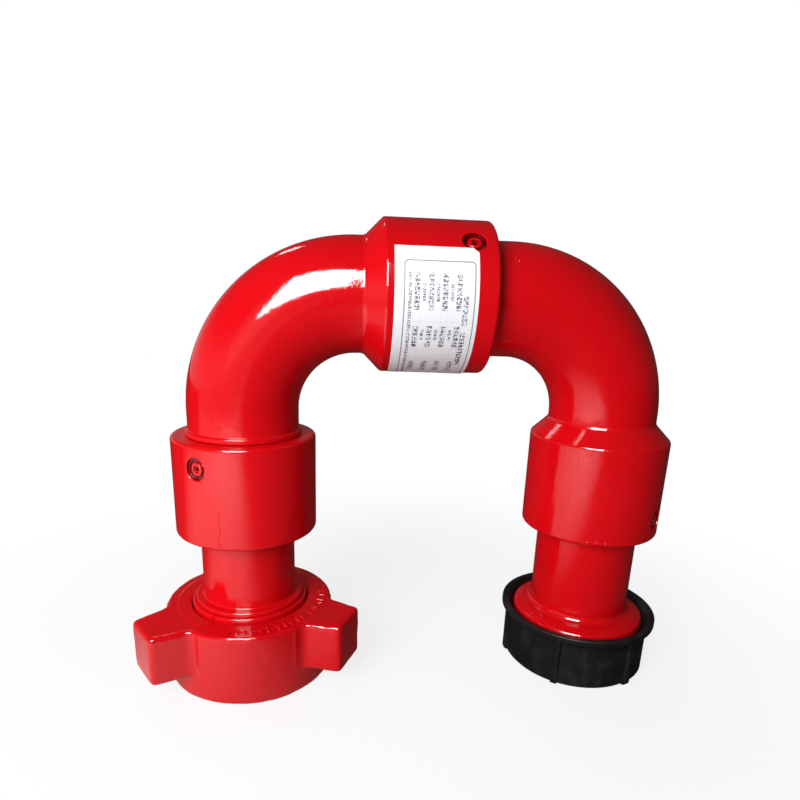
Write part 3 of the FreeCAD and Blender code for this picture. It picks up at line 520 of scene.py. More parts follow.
def finish_piece(piece, body, material, nodes=()):
    """Gives a piece its finish if it has none yet, its body and the nodes that it stands for."""
    if not any(piece.data.materials):
        piece.data.materials.clear()
        piece.data.materials.append(material)
    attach(piece, body)
    if nodes:
        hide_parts(*nodes)


def spin_box(name, size, centre, turn=0.0, rounding=0.0, segments=3):
    """A block with rounded edges, turned about the upright axis through the origin."""
    deselect()
    bpy.ops.mesh.primitive_cube_add(size=1, location=centre)
    block = bpy.context.object
    name_piece(block, name)
    block.scale = size
    settle()
    if rounding:
        modify(block, "BEVEL", width=rounding, segments=segments)
    block.rotation_euler = (0, 0, turn)
    settle()
    return block


# Shared stretches of the swivels

RACE_STEPS = 8


def draw_race(path, sizes, middle, way, outward):
    """One half-round ball race in a wall, drawn along or against the axis."""
    wall = path.radius
    for step in range(RACE_STEPS + 1):
        turn = math.pi * step / RACE_STEPS
        place = middle - way * sizes.race_radius * math.cos(turn)
        path.to(place, wall + outward * sizes.race_radius * math.sin(turn))


def draw_barrel(path, sizes, mouth, way):
    """The male end from its tip out to its mouth; the way is the side where the mouth lies."""
    tip = mouth - way * sizes.male_length
    path.to(tip + way * sizes.male_chamfer, sizes.barrel / 2)
    for row in reversed(ROWS):
        depth = sizes.first_row + row * sizes.row_pitch
        draw_race(path, sizes, mouth - way * depth, way, -1)
    path.to(mouth + way * sizes.shoulder_gap, sizes.barrel / 2)


def draw_socket(path, sizes, mouth):
    """The inside of a cup from its mouth down to the flow bore."""
    wall = sizes.socket / 2
    path.through(
        (mouth, wall), (mouth - sizes.dust_depth, wall),
        (mouth - sizes.dust_depth, sizes.dust_groove / 2),
        (mouth - sizes.dust_depth - sizes.dust_width, sizes.dust_groove / 2),
        (mouth - sizes.dust_depth - sizes.dust_width, wall))
    for row in ROWS:
        depth = sizes.first_row + row * sizes.row_pitch
        draw_race(path, sizes, mouth - depth, -1, 1)
    path.through(
        (mouth - sizes.socket_floor, wall), (mouth - sizes.socket_floor, sizes.chamber / 2),
        (mouth - sizes.chamber_floor, sizes.chamber / 2),
        (mouth - sizes.chamber_floor, sizes.flow_bore / 2))


def left_port_places(sizes, ports):
    """Where the left cup's ports are, each with its own Z axis pointing out."""
    places = []
    for row in ROWS:
        height = LEFT_MOUTH - sizes.first_row - row * sizes.row_pitch
        azimuth = ports.left_first - row * ports.step
        places.append(Matrix.Translation((0, 0, height)) @ Matrix.Rotation(azimuth, 4, "Z")
                      @ Matrix.Rotation(QUARTER_TURN, 4, "Y"))
    return places


def elbow_port_places(sizes, ports):
    """The same for an elbow's cup, in the elbow's own frame."""
    places = []
    for row in ROWS:
        along = MIDDLE_MOUTH - sizes.first_row - row * sizes.row_pitch
        turn = ports.elbow_first - row * ports.step
        places.append(Matrix.Translation((along, 0, 0)) @ Matrix.Rotation(turn, 4, "X"))
    return places


LEFT_ELBOW_PLACE = Matrix.Translation((0, 0, AXIS_HEIGHT))
RIGHT_ELBOW_PLACE = (Matrix.Translation((LEG_SPACING, 0, AXIS_HEIGHT))
                     @ Matrix.Rotation(QUARTER_TURN, 4, "Y"))
PORT_CORNERS = 48
RIM_PROFILE = ((-1.2, 0.0), (-0.5, 0.3), (0.0, 1.0), (0.5, 2.2))    # up and out, in lips
PORT_SHADE_DEPTH = 1.3      # how far below the rim the painted shade of the recess starts, in lips


def cut_ports(piece, places):
    """Cuts the ball hole, the plug's seat and a softened rim at each port, with painted shade on
    the cut faces below the rim.
    """
    sizes = bpy.context.scene.swivel_sizes
    ports = bpy.context.scene.swivel_ports
    seat = ports.counterbore / 2
    rim = sizes.cup / 2
    path = RingPath("port_cutter", sizes.barrel / 2, ports.hole / 2, PORT_CORNERS)
    path.fill()
    path.through(
        (ports.floor, ports.hole / 2), (ports.floor, seat),
        *[(rim + up * ports.lip, seat + out * ports.lip) for up, out in RIM_PROFILE])
    cutter = path.close()
    # Cutter faces below the rim carry painted shade, and the cut walls and seat take it over.
    shade_faces(cutter, FINISHES["paint"], FINISHES["recess_paint"],
                lambda middle: middle.z < rim - PORT_SHADE_DEPTH * ports.lip)
    piece.data.materials.append(FINISHES["paint"])
    cutters = [placed_copy(cutter, "port_cutter_%d" % row, place)
               for row, place in enumerate(places)]
    remove(cutter)
    for one in cutters:
        cut_away(piece, one)


def build_elbow():
    """One elbow in its own frame: male end down, bend, cup along +X."""
    scene = bpy.context.scene
    sizes = scene.swivel_sizes
    male_mouth = LEFT_MOUTH - AXIS_HEIGHT
    male_tip = male_mouth - sizes.male_length
    tip_radius = sizes.barrel / 2 - sizes.male_chamfer
    tube = sizes.tube / 2
    cup = sizes.cup / 2
    shoulder_bottom = male_mouth + sizes.shoulder_gap
    shoulder_top = shoulder_bottom + sizes.shoulder_width
    cup_start = MIDDLE_MOUTH - sizes.cup_length
    cone_start = cup_start - sizes.cone_length
    pivot = (sizes.bend_radius, 0, -sizes.bend_radius)
    path = RingPath("elbow", male_tip, tip_radius, sizes.corners)
    draw_barrel(path, sizes, male_mouth, 1)
    path.through(
        (shoulder_bottom, sizes.shoulder / 2), (shoulder_top, sizes.shoulder / 2),
        (shoulder_top, tube), (-sizes.bend_radius, tube))
    path.bend(QUARTER_TURN, pivot, Y_AXIS, sizes.bend_steps)
    path.through((cone_start, tube), (cup_start, cup), (MIDDLE_MOUTH, cup))
    draw_socket(path, sizes, MIDDLE_MOUTH)
    path.to(sizes.bend_radius)
    path.bend(-QUARTER_TURN, pivot, Y_AXIS, sizes.bend_steps)
    path.through((male_tip, sizes.flow_bore / 2), (male_tip, tip_radius))
    elbow = path.close()
    round_rings(elbow, X_AXIS, [
        (MIDDLE_MOUTH, cup, sizes.mouth_round), (cup_start, cup, sizes.cone_round),
        (cone_start, tube, sizes.cone_foot_round)])
    round_rings(elbow, Z_AXIS, [
        (shoulder_top, sizes.shoulder / 2, sizes.shoulder_round),
        (shoulder_bottom, sizes.shoulder / 2, sizes.shoulder_edge),
        (shoulder_top, tube, sizes.shoulder_fillet)])
    cut_ports(elbow, elbow_port_places(sizes, scene.swivel_ports))
    smooth(elbow)
    return elbow


def thread_ridge(name, wall, outward, bottom, turns):
    """A right-hand thread ridge wound up a wall, standing outwards or inwards from it."""
    thread = bpy.context.scene.swivel_thread
    root_radius = wall - outward * FIT_GAP
    deselect()
    bpy.ops.mesh.primitive_plane_add(
        size=1, location=(root_radius + outward * thread.depth / 2, 0, bottom),
        rotation=(QUARTER_TURN, 0, 0))
    ridge = bpy.context.object
    name_piece(ridge, name)
    ridge.scale = (thread.depth, thread.root_width, 1)
    settle()
    crest = root_radius + outward * thread.depth
    bpy.ops.object.mode_set(mode="EDIT")
    select_edges(ridge, lambda corner: abs(corner.x - crest) < NEAR)
    bpy.ops.transform.resize(
        value=(1, 1, thread.crest_width / thread.root_width), center_override=(crest, 0, bottom))
    bpy.ops.mesh.select_all(action="SELECT")
    bpy.ops.mesh.delete(type="ONLY_FACE")
    bpy.ops.object.mode_set(mode="OBJECT")
    whole_turns = math.ceil(turns)
    modify(ridge, "SCREW", axis="Z", steps=thread.steps, render_steps=thread.steps,
           iterations=whole_turns, angle=math.tau * turns / whole_turns,
           screw_offset=thread.pitch * turns / whole_turns)
    bpy.ops.object.mode_set(mode="EDIT")
    bpy.ops.mesh.select_all(action="SELECT")
    bpy.ops.mesh.remove_doubles(threshold=WELD)
    bpy.ops.mesh.select_all(action="DESELECT")
    bpy.ops.mesh.select_non_manifold()
    bpy.ops.mesh.fill_holes(sides=4)
    bpy.ops.mesh.select_all(action="SELECT")
    bpy.ops.mesh.normals_make_consistent(inside=False)
    bpy.ops.object.mode_set(mode="OBJECT")
    smooth(ridge, degrees=30)
    return ridge


# Finishes

def new_group(name, inputs, outputs):
    """An empty shader group with named number or vector sockets."""
    group = bpy.data.node_groups.new(name, "ShaderNodeTree")
    for label, kind, default in inputs:
        socket = group.interface.new_socket(label, in_out="INPUT", socket_type="NodeSocket" + kind)
        socket.default_value = default
    for label, kind in outputs:
        group.interface.new_socket(label, in_out="OUTPUT", socket_type="NodeSocket" + kind)
    return group


def add(tree, kind, inputs=None, **settings):
    """A shader node with its settings and its inputs' values or links."""
    node = tree.nodes.new("ShaderNode" + kind)
    for key, value in settings.items():
        setattr(node, key, value)
    for key, value in (inputs or {}).items():
        if isinstance(value, bpy.types.NodeSocket):
            tree.links.new(value, node.inputs[key])
        else:
            node.inputs[key].default_value = value
    return node


def arithmetic(tree, operation, first, second=0.0, clamp=False):
    """The result of a sum on two values."""
    node = add(tree, "Math", {0: first, 1: second}, operation=operation, use_clamp=clamp)
    return node.outputs[0]


def ranged(tree, value, low=0.0, high=1.0, start=0.0, end=1.0, curve="LINEAR"):
    """A value carried over from one range to another, and held at the second one's ends."""
    node = add(tree, "MapRange", {"Value": value, "From Min": low, "From Max": high,
                                  "To Min": start, "To Max": end}, interpolation_type=curve)
    return node.outputs[0]


def mixed(tree, share, first, second):
    """The first colour where the share is nought, the second where it is one."""
    colours = [side if isinstance(side, bpy.types.NodeSocket) else (*side, 1)
               for side in (first, second)]
    node = add(tree, "MixRGB", {"Fac": share, "Color1": colours[0], "Color2": colours[1]})
    return node.outputs[0]


def noise(tree, scale, detail, distortion=0.0):
    """Cloudy noise that lies still on the object."""
    point = add(tree, "TexCoord").outputs["Object"]
    node = add(tree, "TexNoise", {"Vector": point, "Scale": scale, "Detail": detail,
                                  "Distortion": distortion})
    return node.outputs["Fac"]


def new_material(name):
    """A new node material, its tree and its shader."""
    material = bpy.data.materials.new(name)
    material.use_nodes = True
    return material, material.node_tree, material.node_tree.nodes["Principled BSDF"]


def link_skin(tree, shader, roughness, height, distance, strength):
    """Links a shader's roughness, and its bump from a height."""
    tree.links.new(roughness, shader.inputs["Roughness"])
    bump = add(tree, "Bump", {"Height": height, "Distance": distance, "Strength": strength})
    tree.links.new(bump.outputs[0], shader.inputs["Normal"])


def enamel_skin_group():
    """Orange peel, slow forging waves and thick and thin paint, as they lie over a forging."""
    group = new_group("Enamel Skin", [
        ("Peel Size", "Float", 0.0022), ("Wave Size", "Float", 0.02), ("Peel", "Float", 0.3),
        ("Waves", "Float", 0.6)], [("Height", "Float"), ("Thickness", "Float")])
    inside = group.nodes.new("NodeGroupInput")
    outside = group.nodes.new("NodeGroupOutput")
    peel_scale = arithmetic(group, "DIVIDE", 1.0, inside.outputs["Peel Size"])
    wave_scale = arithmetic(group, "DIVIDE", 1.0, inside.outputs["Wave Size"])
    peel = arithmetic(group, "MULTIPLY", noise(group, peel_scale, detail=1.5),
                      inside.outputs["Peel"])
    waves = arithmetic(group, "MULTIPLY", noise(group, wave_scale, detail=2.0, distortion=0.4),
                       inside.outputs["Waves"])
    thickness = ranged(group, noise(group, scale=9.0, detail=3.0), low=0.32, high=0.68)
    group.links.new(arithmetic(group, "ADD", peel, waves), outside.inputs["Height"])
    group.links.new(thickness, outside.inputs["Thickness"])
    return group


def paint_material(name, skin, waves, peel, thick_share, thin_tint, thick_tint):
    """Glossy enamel over steel; the values set how lumpy it lies and its two tints."""
    material, tree, shader = new_material(name)
    effect = add(tree, "Group", node_tree=skin)
    effect.inputs["Waves"].default_value = waves
    effect.inputs["Peel"].default_value = peel
    thickness = effect.outputs["Thickness"]
    thick = arithmetic(tree, "MULTIPLY", thickness, thick_share)
    tree.links.new(mixed(tree, thick, thin_tint, thick_tint), shader.inputs["Base Color"])
    link_skin(tree, shader, ranged(tree, thickness, start=0.13, end=0.06),
              effect.outputs["Height"], distance=0.0007, strength=0.5)
    shader.inputs["IOR"].default_value = 1.5
    return material


def plastic_material():
    """Black moulded plastic with a fine texture and scuffed patches."""
    colours = bpy.context.scene.swivel_colours
    material, tree, shader = new_material("Moulded Black Plastic")
    scuffs = noise(tree, scale=38.0, detail=5.0, distortion=1.2)
    worn = ranged(tree, scuffs, low=0.5, high=0.72)
    tree.links.new(mixed(tree, worn, colours.plastic, colours.worn_plastic),
                   shader.inputs["Base Color"])
    grain = noise(tree, scale=1400.0, detail=2.0)
    link_skin(tree, shader, ranged(tree, worn, start=0.45, end=0.62), grain, distance=0.0002,
              strength=0.25)
    shader.inputs["IOR"].default_value = 1.38
    return material


def plain_material(name, tint, roughness, metallic, scale, depth):
    """A rubber or bare metal finish with fine unevenness in its gloss and surface."""
    material, tree, shader = new_material(name)
    shader.inputs["Base Color"].default_value = (*tint, 1)
    shader.inputs["Metallic"].default_value = metallic
    grain = noise(tree, scale, detail=4.0)
    rough = ranged(tree, grain, start=roughness * 0.7, end=roughness * 1.3)
    link_skin(tree, shader, rough, grain, distance=depth, strength=0.3)
    return material


def band(tree, value, low, high):
    """One where a value lies between two limits, else nought."""
    above = arithmetic(tree, "GREATER_THAN", value, low)
    below = arithmetic(tree, "LESS_THAN", value, high)
    return arithmetic(tree, "MULTIPLY", above, below)


def bands(tree, value, *limits):
    """One where a value lies in any of several stretches."""
    mask = band(tree, value, *limits[0])
    for pair in limits[1:]:
        mask = arithmetic(tree, "MAXIMUM", mask, band(tree, value, *pair))
    return mask


def rounded_frame(tree, across, up, middle, half, corner, line):
    """The outline of a box with rounded corners, as a mask; all in metres."""
    beyond = []
    for value, centre, reach in zip((across, up), middle, half):
        offset = arithmetic(tree, "ABSOLUTE", arithmetic(tree, "SUBTRACT", value, centre))
        beyond.append(arithmetic(tree, "SUBTRACT", offset, reach - corner))
    squares = [arithmetic(tree, "POWER", arithmetic(tree, "MAXIMUM", value, 0.0), 2.0)
               for value in beyond]
    outside = arithmetic(tree, "SQRT", arithmetic(tree, "ADD", *squares))
    inside = arithmetic(tree, "MINIMUM", arithmetic(tree, "MAXIMUM", *beyond), 0.0)
    distance = arithmetic(tree, "SUBTRACT", arithmetic(tree, "ADD", outside, inside), corner)
    return arithmetic(tree, "LESS_THAN", arithmetic(tree, "ABSOLUTE", distance), line / 2)


# The label's print, in shares of its width from the left and of its height from the foot.
# Its columns are counted from the right: a title, then small and large in turn, then a dense one.
PRINT_START = 0.8895
COLUMN_STEP = 0.083
LAST_COLUMN = 8
TITLE_STRETCHES = ((0.525, 0.705), (0.207, 0.484))
LARGE_STRETCHES = ((0.616, 0.831), (0.371, 0.521), (0.1, 0.243))
SMALL_STRETCHES = ((0.666, 0.77), (0.43, 0.5))
DENSE_STRETCHES = ((0.065, 0.831),)
TABLE_ACROSS = (0.22, 0.81)
TABLE_UP = (0.065, 0.6)
TABLE_RULES = ((0.546, 0.55), (0.356, 0.36), (0.262, 0.266))
COLUMN_RULE = 0.05      # width of the line between two columns, as a share of a column
RULE_INK = 0.16
LARGE_ROWS = 40.0       # blocks over the label's height in a large column
SMALL_ROWS_MORE = 26.0
LARGE_REACH = 0.38      # half a block's width in a large column, as a share of the column
SMALL_REACH_LESS = 0.15
BLOCK_RISE = (0.1, 0.9)
CELLS_ACROSS = 7.0      # cells over a column's width
CELLS_UP = 4.0          # cells over a block's height
CELL_BLANKS = 0.42      # share of the cells without ink
BORDER_MIDDLE = (0.534, 0.465)
BORDER_HALF = (0.417, 0.438)
BORDER_INK = 0.85


def print_mask(tree, across, up):
    """Columns of made-up blocks, large and small in turn, set in groups down the label."""
    columns = arithmetic(tree, "DIVIDE", arithmetic(tree, "SUBTRACT", PRINT_START, across),
                         COLUMN_STEP)
    number = arithmetic(tree, "FLOOR", columns)
    part = arithmetic(tree, "FRACT", columns)
    title = arithmetic(tree, "LESS_THAN", number, 0.5)
    dense = arithmetic(tree, "GREATER_THAN", number, LAST_COLUMN - 0.5)
    even = arithmetic(tree, "LESS_THAN", arithmetic(tree, "MODULO", number, 2.0), 0.5)
    small = arithmetic(tree, "SUBTRACT", even, title)
    large = arithmetic(tree, "SUBTRACT", 1.0, even)
    groups = (
        (large, LARGE_STRETCHES), (arithmetic(tree, "SUBTRACT", small, dense), SMALL_STRETCHES),
        (title, TITLE_STRETCHES), (dense, DENSE_STRETCHES))
    shown = 0.0
    for kind, stretches in groups:
        group = arithmetic(tree, "MULTIPLY", kind, bands(tree, up, *stretches))
        shown = arithmetic(tree, "ADD", shown, group)
    rows = arithmetic(tree, "MULTIPLY", up, arithmetic(
        tree, "ADD", LARGE_ROWS, arithmetic(tree, "MULTIPLY", small, SMALL_ROWS_MORE)))
    reach = arithmetic(tree, "SUBTRACT", LARGE_REACH,
                       arithmetic(tree, "MULTIPLY", small, SMALL_REACH_LESS))
    aside = arithmetic(tree, "ABSOLUTE", arithmetic(tree, "SUBTRACT", part, 0.5))
    width = arithmetic(tree, "LESS_THAN", aside, reach)
    rise = band(tree, arithmetic(tree, "FRACT", rows), *BLOCK_RISE)
    block = arithmetic(tree, "MULTIPLY", width, rise)
    cell = add(tree, "CombineXYZ", {
        "X": arithmetic(tree, "FLOOR", arithmetic(tree, "MULTIPLY", columns, CELLS_ACROSS)),
        "Y": arithmetic(tree, "FLOOR", arithmetic(tree, "MULTIPLY", rows, CELLS_UP))})
    chance = add(tree, "TexWhiteNoise", {"Vector": cell.outputs[0]}, noise_dimensions="2D")
    filled = arithmetic(tree, "GREATER_THAN", chance.outputs["Value"], CELL_BLANKS)
    inked = arithmetic(tree, "MULTIPLY", arithmetic(tree, "MULTIPLY", block, filled), shown)
    inside = band(tree, number, -0.5, LAST_COLUMN + 0.5)
    table = arithmetic(tree, "MULTIPLY", band(tree, across, *TABLE_ACROSS),
                       band(tree, up, *TABLE_UP))
    edges = arithmetic(tree, "MAXIMUM", arithmetic(tree, "LESS_THAN", part, COLUMN_RULE),
                       bands(tree, up, *TABLE_RULES))
    rules = arithmetic(tree, "MULTIPLY", arithmetic(tree, "MULTIPLY", table, edges), RULE_INK)
    return arithmetic(tree, "MAXIMUM", arithmetic(tree, "MULTIPLY", inked, inside), rules)


def label_material():
    """White paper with a thin border and generic printed blocks, on the label's UV map."""
    scene = bpy.context.scene
    colours = scene.swivel_colours
    label = scene.swivel_label
    flat = label.width, (label.top - label.bottom) * scene.swivel_sizes.cup / 2
    material, tree, shader = new_material("Printed Paper")
    place = add(tree, "SeparateXYZ", {"Vector": add(tree, "UVMap").outputs["UV"]})
    across = place.outputs["X"]
    up = place.outputs["Y"]
    border = rounded_frame(
        tree, arithmetic(tree, "MULTIPLY", across, flat[0]),
        arithmetic(tree, "MULTIPLY", up, flat[1]),
        [share * side for share, side in zip(BORDER_MIDDLE, flat)],
        [share * side for share, side in zip(BORDER_HALF, flat)],
        label.border_round, label.border_line)
    strength = ranged(tree, up, low=0.8, high=0.4, start=0.86, end=1.0)
    ink = arithmetic(tree, "MULTIPLY", print_mask(tree, across, up), strength)
    ink = arithmetic(tree, "MAXIMUM", ink, arithmetic(tree, "MULTIPLY", border, BORDER_INK))
    # The paper colour's faint blue cast is a painted reflection.
    tree.links.new(mixed(tree, ink, colours.paper, colours.ink), shader.inputs["Base Color"])
    fibre = noise(tree, scale=1100.0, detail=3.0)
    link_skin(tree, shader, ranged(tree, fibre, start=0.55, end=0.7), fibre, distance=0.00005,
              strength=0.25)
    return material


FINISHES = {}


def make_finishes():
    """Builds each finish once, for the pieces made after it."""
    colours = bpy.context.scene.swivel_colours
    skin = enamel_skin_group()
    reds = {"thin_tint": colours.red, "thick_tint": colours.deep_red}
    port_shade_reds = {"thin_tint": colours.port_shade_red, "thick_tint": colours.port_deep_shade}
    FINISHES.update(
        paint=paint_material("Red Enamel", skin, waves=0.45, peel=0.22, thick_share=0.35, **reds),
        forged_paint=paint_material("Red Enamel on Forging", skin, waves=1.0, peel=0.35,
                                    thick_share=0.45, **reds),
        # Darker red enamel as painted shade, for the ports' recesses, clips and key sockets.
        recess_paint=paint_material("Red Enamel Painted Port Shade", skin, waves=1.0, peel=0.35,
                                    thick_share=0.7, **port_shade_reds),
        plastic=plastic_material(), paper=label_material(),
        rubber=plain_material("Rubber", colours.rubber, roughness=0.6, metallic=0.0,
                              scale=900.0, depth=0.0002),
        balls=plain_material("Ball Steel", colours.ball_steel, roughness=0.12, metallic=1.0,
                             scale=500.0, depth=0.00002),
        spring=plain_material("Spring Steel", colours.spring_steel, roughness=0.35, metallic=1.0,
                              scale=700.0, depth=0.0001),
        brass=plain_material("Brass", colours.brass, roughness=0.3, metallic=1.0,
                             scale=600.0, depth=0.0001))


def dress_node(node, material):
    """Gives a carried-over CAD node its finish."""
    node_object = frame["nodes"][node]
    for spot in node_object.material_slots:
        spot.material = material


# Pieces

class SWIVEL_OT_finishes(bpy.types.Operator):
    """Makes the finishes and dresses the CAD nodes that stay as they are."""
    bl_idname = "swivel.finishes"
    bl_label = "Finishes and inner pieces"

    def execute(self, context):
        make_finishes()
        for cup in ("left", "middle", "right"):
            for row in ROWS:
                dress_node("%s_ball_row_%d" % (cup, row + 1), FINISHES["balls"])
            dress_node(cup + "_packing", FINISHES["rubber"])
            dress_node(cup + "_dust_seal", FINISHES["rubber"])
            dress_node(cup + "_plug_seals", FINISHES["rubber"])
            dress_node(cup + "_backup_ring", FINISHES["brass"])
        dress_node("union_seal", FINISHES["rubber"])
        dress_node("retainer_ring", FINISHES["spring"])
        return {"FINISHED"}


class SWIVEL_OT_elbows(bpy.types.Operator):
    """Makes both long-sweep elbows."""
    bl_idname = "swivel.elbows"
    bl_label = "Elbows"

    def execute(self, context):
        elbow = build_elbow()
        left = placed_copy(elbow, "forged_left_elbow", LEFT_ELBOW_PLACE)
        right = placed_copy(elbow, "forged_right_elbow", RIGHT_ELBOW_PLACE)
        remove(elbow)
        finish_piece(left, "left_bend", FINISHES["paint"], ["left_elbow"])
        finish_piece(right, "right_bend", FINISHES["paint"], ["right_elbow"])
        return {"FINISHED"}


class SWIVEL_OT_left_sub(bpy.types.Operator):
    """Makes the left forging with its cup, neck, collar and nose."""
    bl_idname = "swivel.left_sub"
    bl_label = "Left sub"

    def execute(self, context):
        scene = context.scene
        sizes = scene.swivel_sizes
        left = scene.swivel_left_sub
        bore = sizes.flow_bore / 2
        cup = sizes.cup / 2
        neck = left.neck / 2
        cup_bottom = LEFT_MOUTH - sizes.cup_length
        path = RingPath("forged_wing_sub", 0.0, bore, sizes.corners)
        path.through(
            (0.0, left.nose / 2), (left.nose_height, left.nose / 2),
            (left.nose_height, left.head / 2), (left.head_top, left.head / 2),
            (left.head_top, neck), (left.collar_bottom, neck),
            (left.collar_bottom, left.collar / 2), (left.collar_top, left.collar / 2),
            (left.collar_top, neck), (cup_bottom, neck), (cup_bottom, cup), (LEFT_MOUTH, cup))
        draw_socket(path, sizes, LEFT_MOUTH)
        path.to(0.0, bore)
        sub = path.close()
        round_rings(sub, Z_AXIS, [
            (LEFT_MOUTH, cup, sizes.mouth_round), (cup_bottom, cup, sizes.mouth_round),
            (cup_bottom, neck, left.neck_fillet), (left.collar_top, neck, left.neck_fillet),
            (left.collar_top, left.collar / 2, left.collar_round),
            (left.collar_bottom, left.collar / 2, left.collar_edge),
            (left.head_top, left.head / 2, left.head_round),
            (left.nose_height, left.head / 2, left.step_round)])
        round_rings(sub, Z_AXIS, [(0.0, left.nose / 2, left.nose_round)], segments=10)
        cut_ports(sub, left_port_places(sizes, scene.swivel_ports))
        smooth(sub)
        finish_piece(sub, "left_leg", FINISHES["paint"], ["wing_sub"])
        return {"FINISHED"}


class SWIVEL_OT_segments(bpy.types.Operator):
    """Makes the three load segments round the neck."""
    bl_idname = "swivel.segments"
    bl_label = "Load segments"

    def execute(self, context):
        scene = context.scene
        left = scene.swivel_left_sub
        inner = left.neck / 2 + FIT_GAP
        flange = left.segment_flange / 2
        sleeve = left.segment_sleeve / 2
        bottom = left.head_top + SEAT_GAP
        top = left.collar_bottom - SEAT_GAP
        path = RingPath("load_segments", bottom, inner, scene.swivel_sizes.corners)
        path.through((bottom, flange), (left.segment_step, flange), (left.segment_step, sleeve),
                     (top, sleeve), (top, inner), (bottom, inner))
        segments = path.close()
        round_rings(segments, Z_AXIS, [(top, sleeve, left.segment_round)])
        for number in THIRDS:
            slot = spin_box(
                "slot_cutter", (flange, left.segment_slot, 2 * left.collar_top),
                (flange / 2 + inner / 2, 0, left.collar_bottom), number * THIRD_TURN)
            cut_away(segments, slot)
        smooth(segments)
        finish_piece(segments, "left_leg", FINISHES["forged_paint"],
                     ["retainer_segments"])
        return {"FINISHED"}


class SWIVEL_OT_nut(bpy.types.Operator):
    """Makes the wing nut with its three lugs, its thread and its raised marks."""
    bl_idname = "swivel.nut"
    bl_label = "Wing nut"

    relax_steps = 8         # how often the blended skin is smoothed
    lug_overlap = 0.002     # how far outside the relief a lug starts
    skin_depth = 0.0015     # how far outside the relief the skin may sink
    wall_near = 0.0001      # how near a corner lies to the wall of a blend's hollow
    marks_from = math.radians(-92)
    marks_to = math.radians(5)
    marks_radius = 0.0534
    mark_lengths = (0.0060, 0.0046, 0.0054, 0.0040)
    mark_widths = (0.0023, 0.0014, 0.0018)
    mark_shifts = (0.0, 0.0005)
    mark_turns = (5.6, 4.4, 7.0, 5.0, 8.4)
    mark_height = 0.0018
    mark_round = 0.0006

    def execute(self, context):
        scene = context.scene
        nut = scene.swivel_nut
        thread = nut.thread / 2
        relief_bottom = nut.lip_bottom - nut.relief_height
        path = RingPath("forged_wing_nut", 0.0, thread + nut.lead, scene.swivel_sizes.corners)
        path.through(
            (0.0, nut.outside / 2), (nut.height, nut.outside / 2), (nut.height, nut.lip / 2),
            (nut.lip_bottom, nut.lip / 2), (nut.lip_bottom, nut.relief / 2),
            (relief_bottom, nut.relief / 2), (relief_bottom - nut.relief_slope, thread),
            (nut.lead, thread), (0.0, thread + nut.lead))
        skirt = path.close()
        round_rings(skirt, Z_AXIS, [
            (nut.height, nut.outside / 2, nut.top_round), (0.0, nut.outside / 2, nut.foot_round),
            (nut.height, nut.lip / 2, nut.lip_round)])
        turns = [nut.lug_angle + number * THIRD_TURN for number in THIRDS]
        lugs = [self.lug(nut, turn) for turn in turns]
        blends = [self.blend(nut, turn, side) for turn in turns for side in (-1, 1)]
        piece = joined("forged_wing_nut", [skirt, *lugs, *blends])
        modify(piece, "REMESH", mode="VOXEL", voxel_size=nut.grain)
        modify(piece, "SMOOTH", factor=0.5, iterations=self.relax_steps)
        self.forge(piece, nut)
        bpy.ops.object.shade_smooth()
        finish_piece(piece, "nut", FINISHES["forged_paint"], ["wing_nut"])
        ridge = thread_ridge("nut_thread_ridge", thread, -1, nut.thread_start, nut.thread_turns)
        finish_piece(ridge, "nut", FINISHES["forged_paint"])
        marks = self.marks(nut)
        finish_piece(marks, "nut", FINISHES["forged_paint"])
        return {"FINISHED"}

    def lug(self, nut, turn):
        """One lug, wider at its root and soft along its edges."""
        inner = nut.relief / 2 + self.lug_overlap
        reach = nut.lug_reach - inner
        middle = (nut.height + nut.lug_bottom) / 2
        deselect()
        bpy.ops.mesh.primitive_cube_add(size=1, location=(inner + reach / 2, 0, middle))
        lug = bpy.context.object
        name_piece(lug, "lug")
        lug.scale = (reach, nut.lug_root, nut.height - nut.lug_bottom)
        settle()
        bpy.ops.object.mode_set(mode="EDIT")
        select_edges(lug, lambda corner: corner.x > nut.lug_reach - NEAR)
        bpy.ops.transform.resize(value=(1, nut.lug_tip / nut.lug_root, 1),
                                 center_override=(nut.lug_reach, 0, middle))
        bpy.ops.object.mode_set(mode="OBJECT")
        modify(lug, "BEVEL", width=nut.lug_round, segments=4)
        lug.rotation_euler = (0, 0, turn)
        settle()
        return lug

    def blend(self, nut, turn, side):
        """The hollow between the skirt and one side of a lug, with its own soft edges."""
        inner = nut.relief / 2 + self.lug_overlap
        taper = (nut.lug_root - nut.lug_tip) / 2 / (nut.lug_reach - inner)
        swing = nut.outside / 2 + nut.lug_blend
        offset = nut.lug_root / 2 + taper * inner + nut.lug_blend * math.hypot(1, taper)
        square = 1 + taper ** 2
        along = (offset * taper + math.sqrt(
            (offset * taper) ** 2 - square * (offset ** 2 - swing ** 2))) / square
        aside = offset - taper * along
        near = inner - CUTTER_REACH
        low = aside - 2 * nut.lug_blend
        tall = nut.height - nut.lug_bottom
        block = spin_box("blend", (along - near, aside - low, tall),
                         ((along + near) / 2, side * (aside + low) / 2, nut.lug_bottom + tall / 2))
        path = RingPath("blend_cutter", nut.lug_bottom - CUTTER_REACH, nut.lug_blend,
                        PORT_CORNERS)
        path.fill()
        path.to(nut.height + CUTTER_REACH)
        cutter = path.close()
        move_to(cutter, (along, side * aside, 0))
        cut_away(block, cutter)

        def on_hollow(place):
            def test(corner):
                away = math.hypot(corner.x - along, corner.y - side * aside)
                return abs(corner.z - place) < NEAR and abs(away - nut.lug_blend) < self.wall_near
            return test

        bevel_edges(block, [(on_hollow(place), nut.lug_round)
                            for place in (nut.height, nut.lug_bottom)])
        block.rotation_euler = (0, 0, turn)
        settle()
        return block

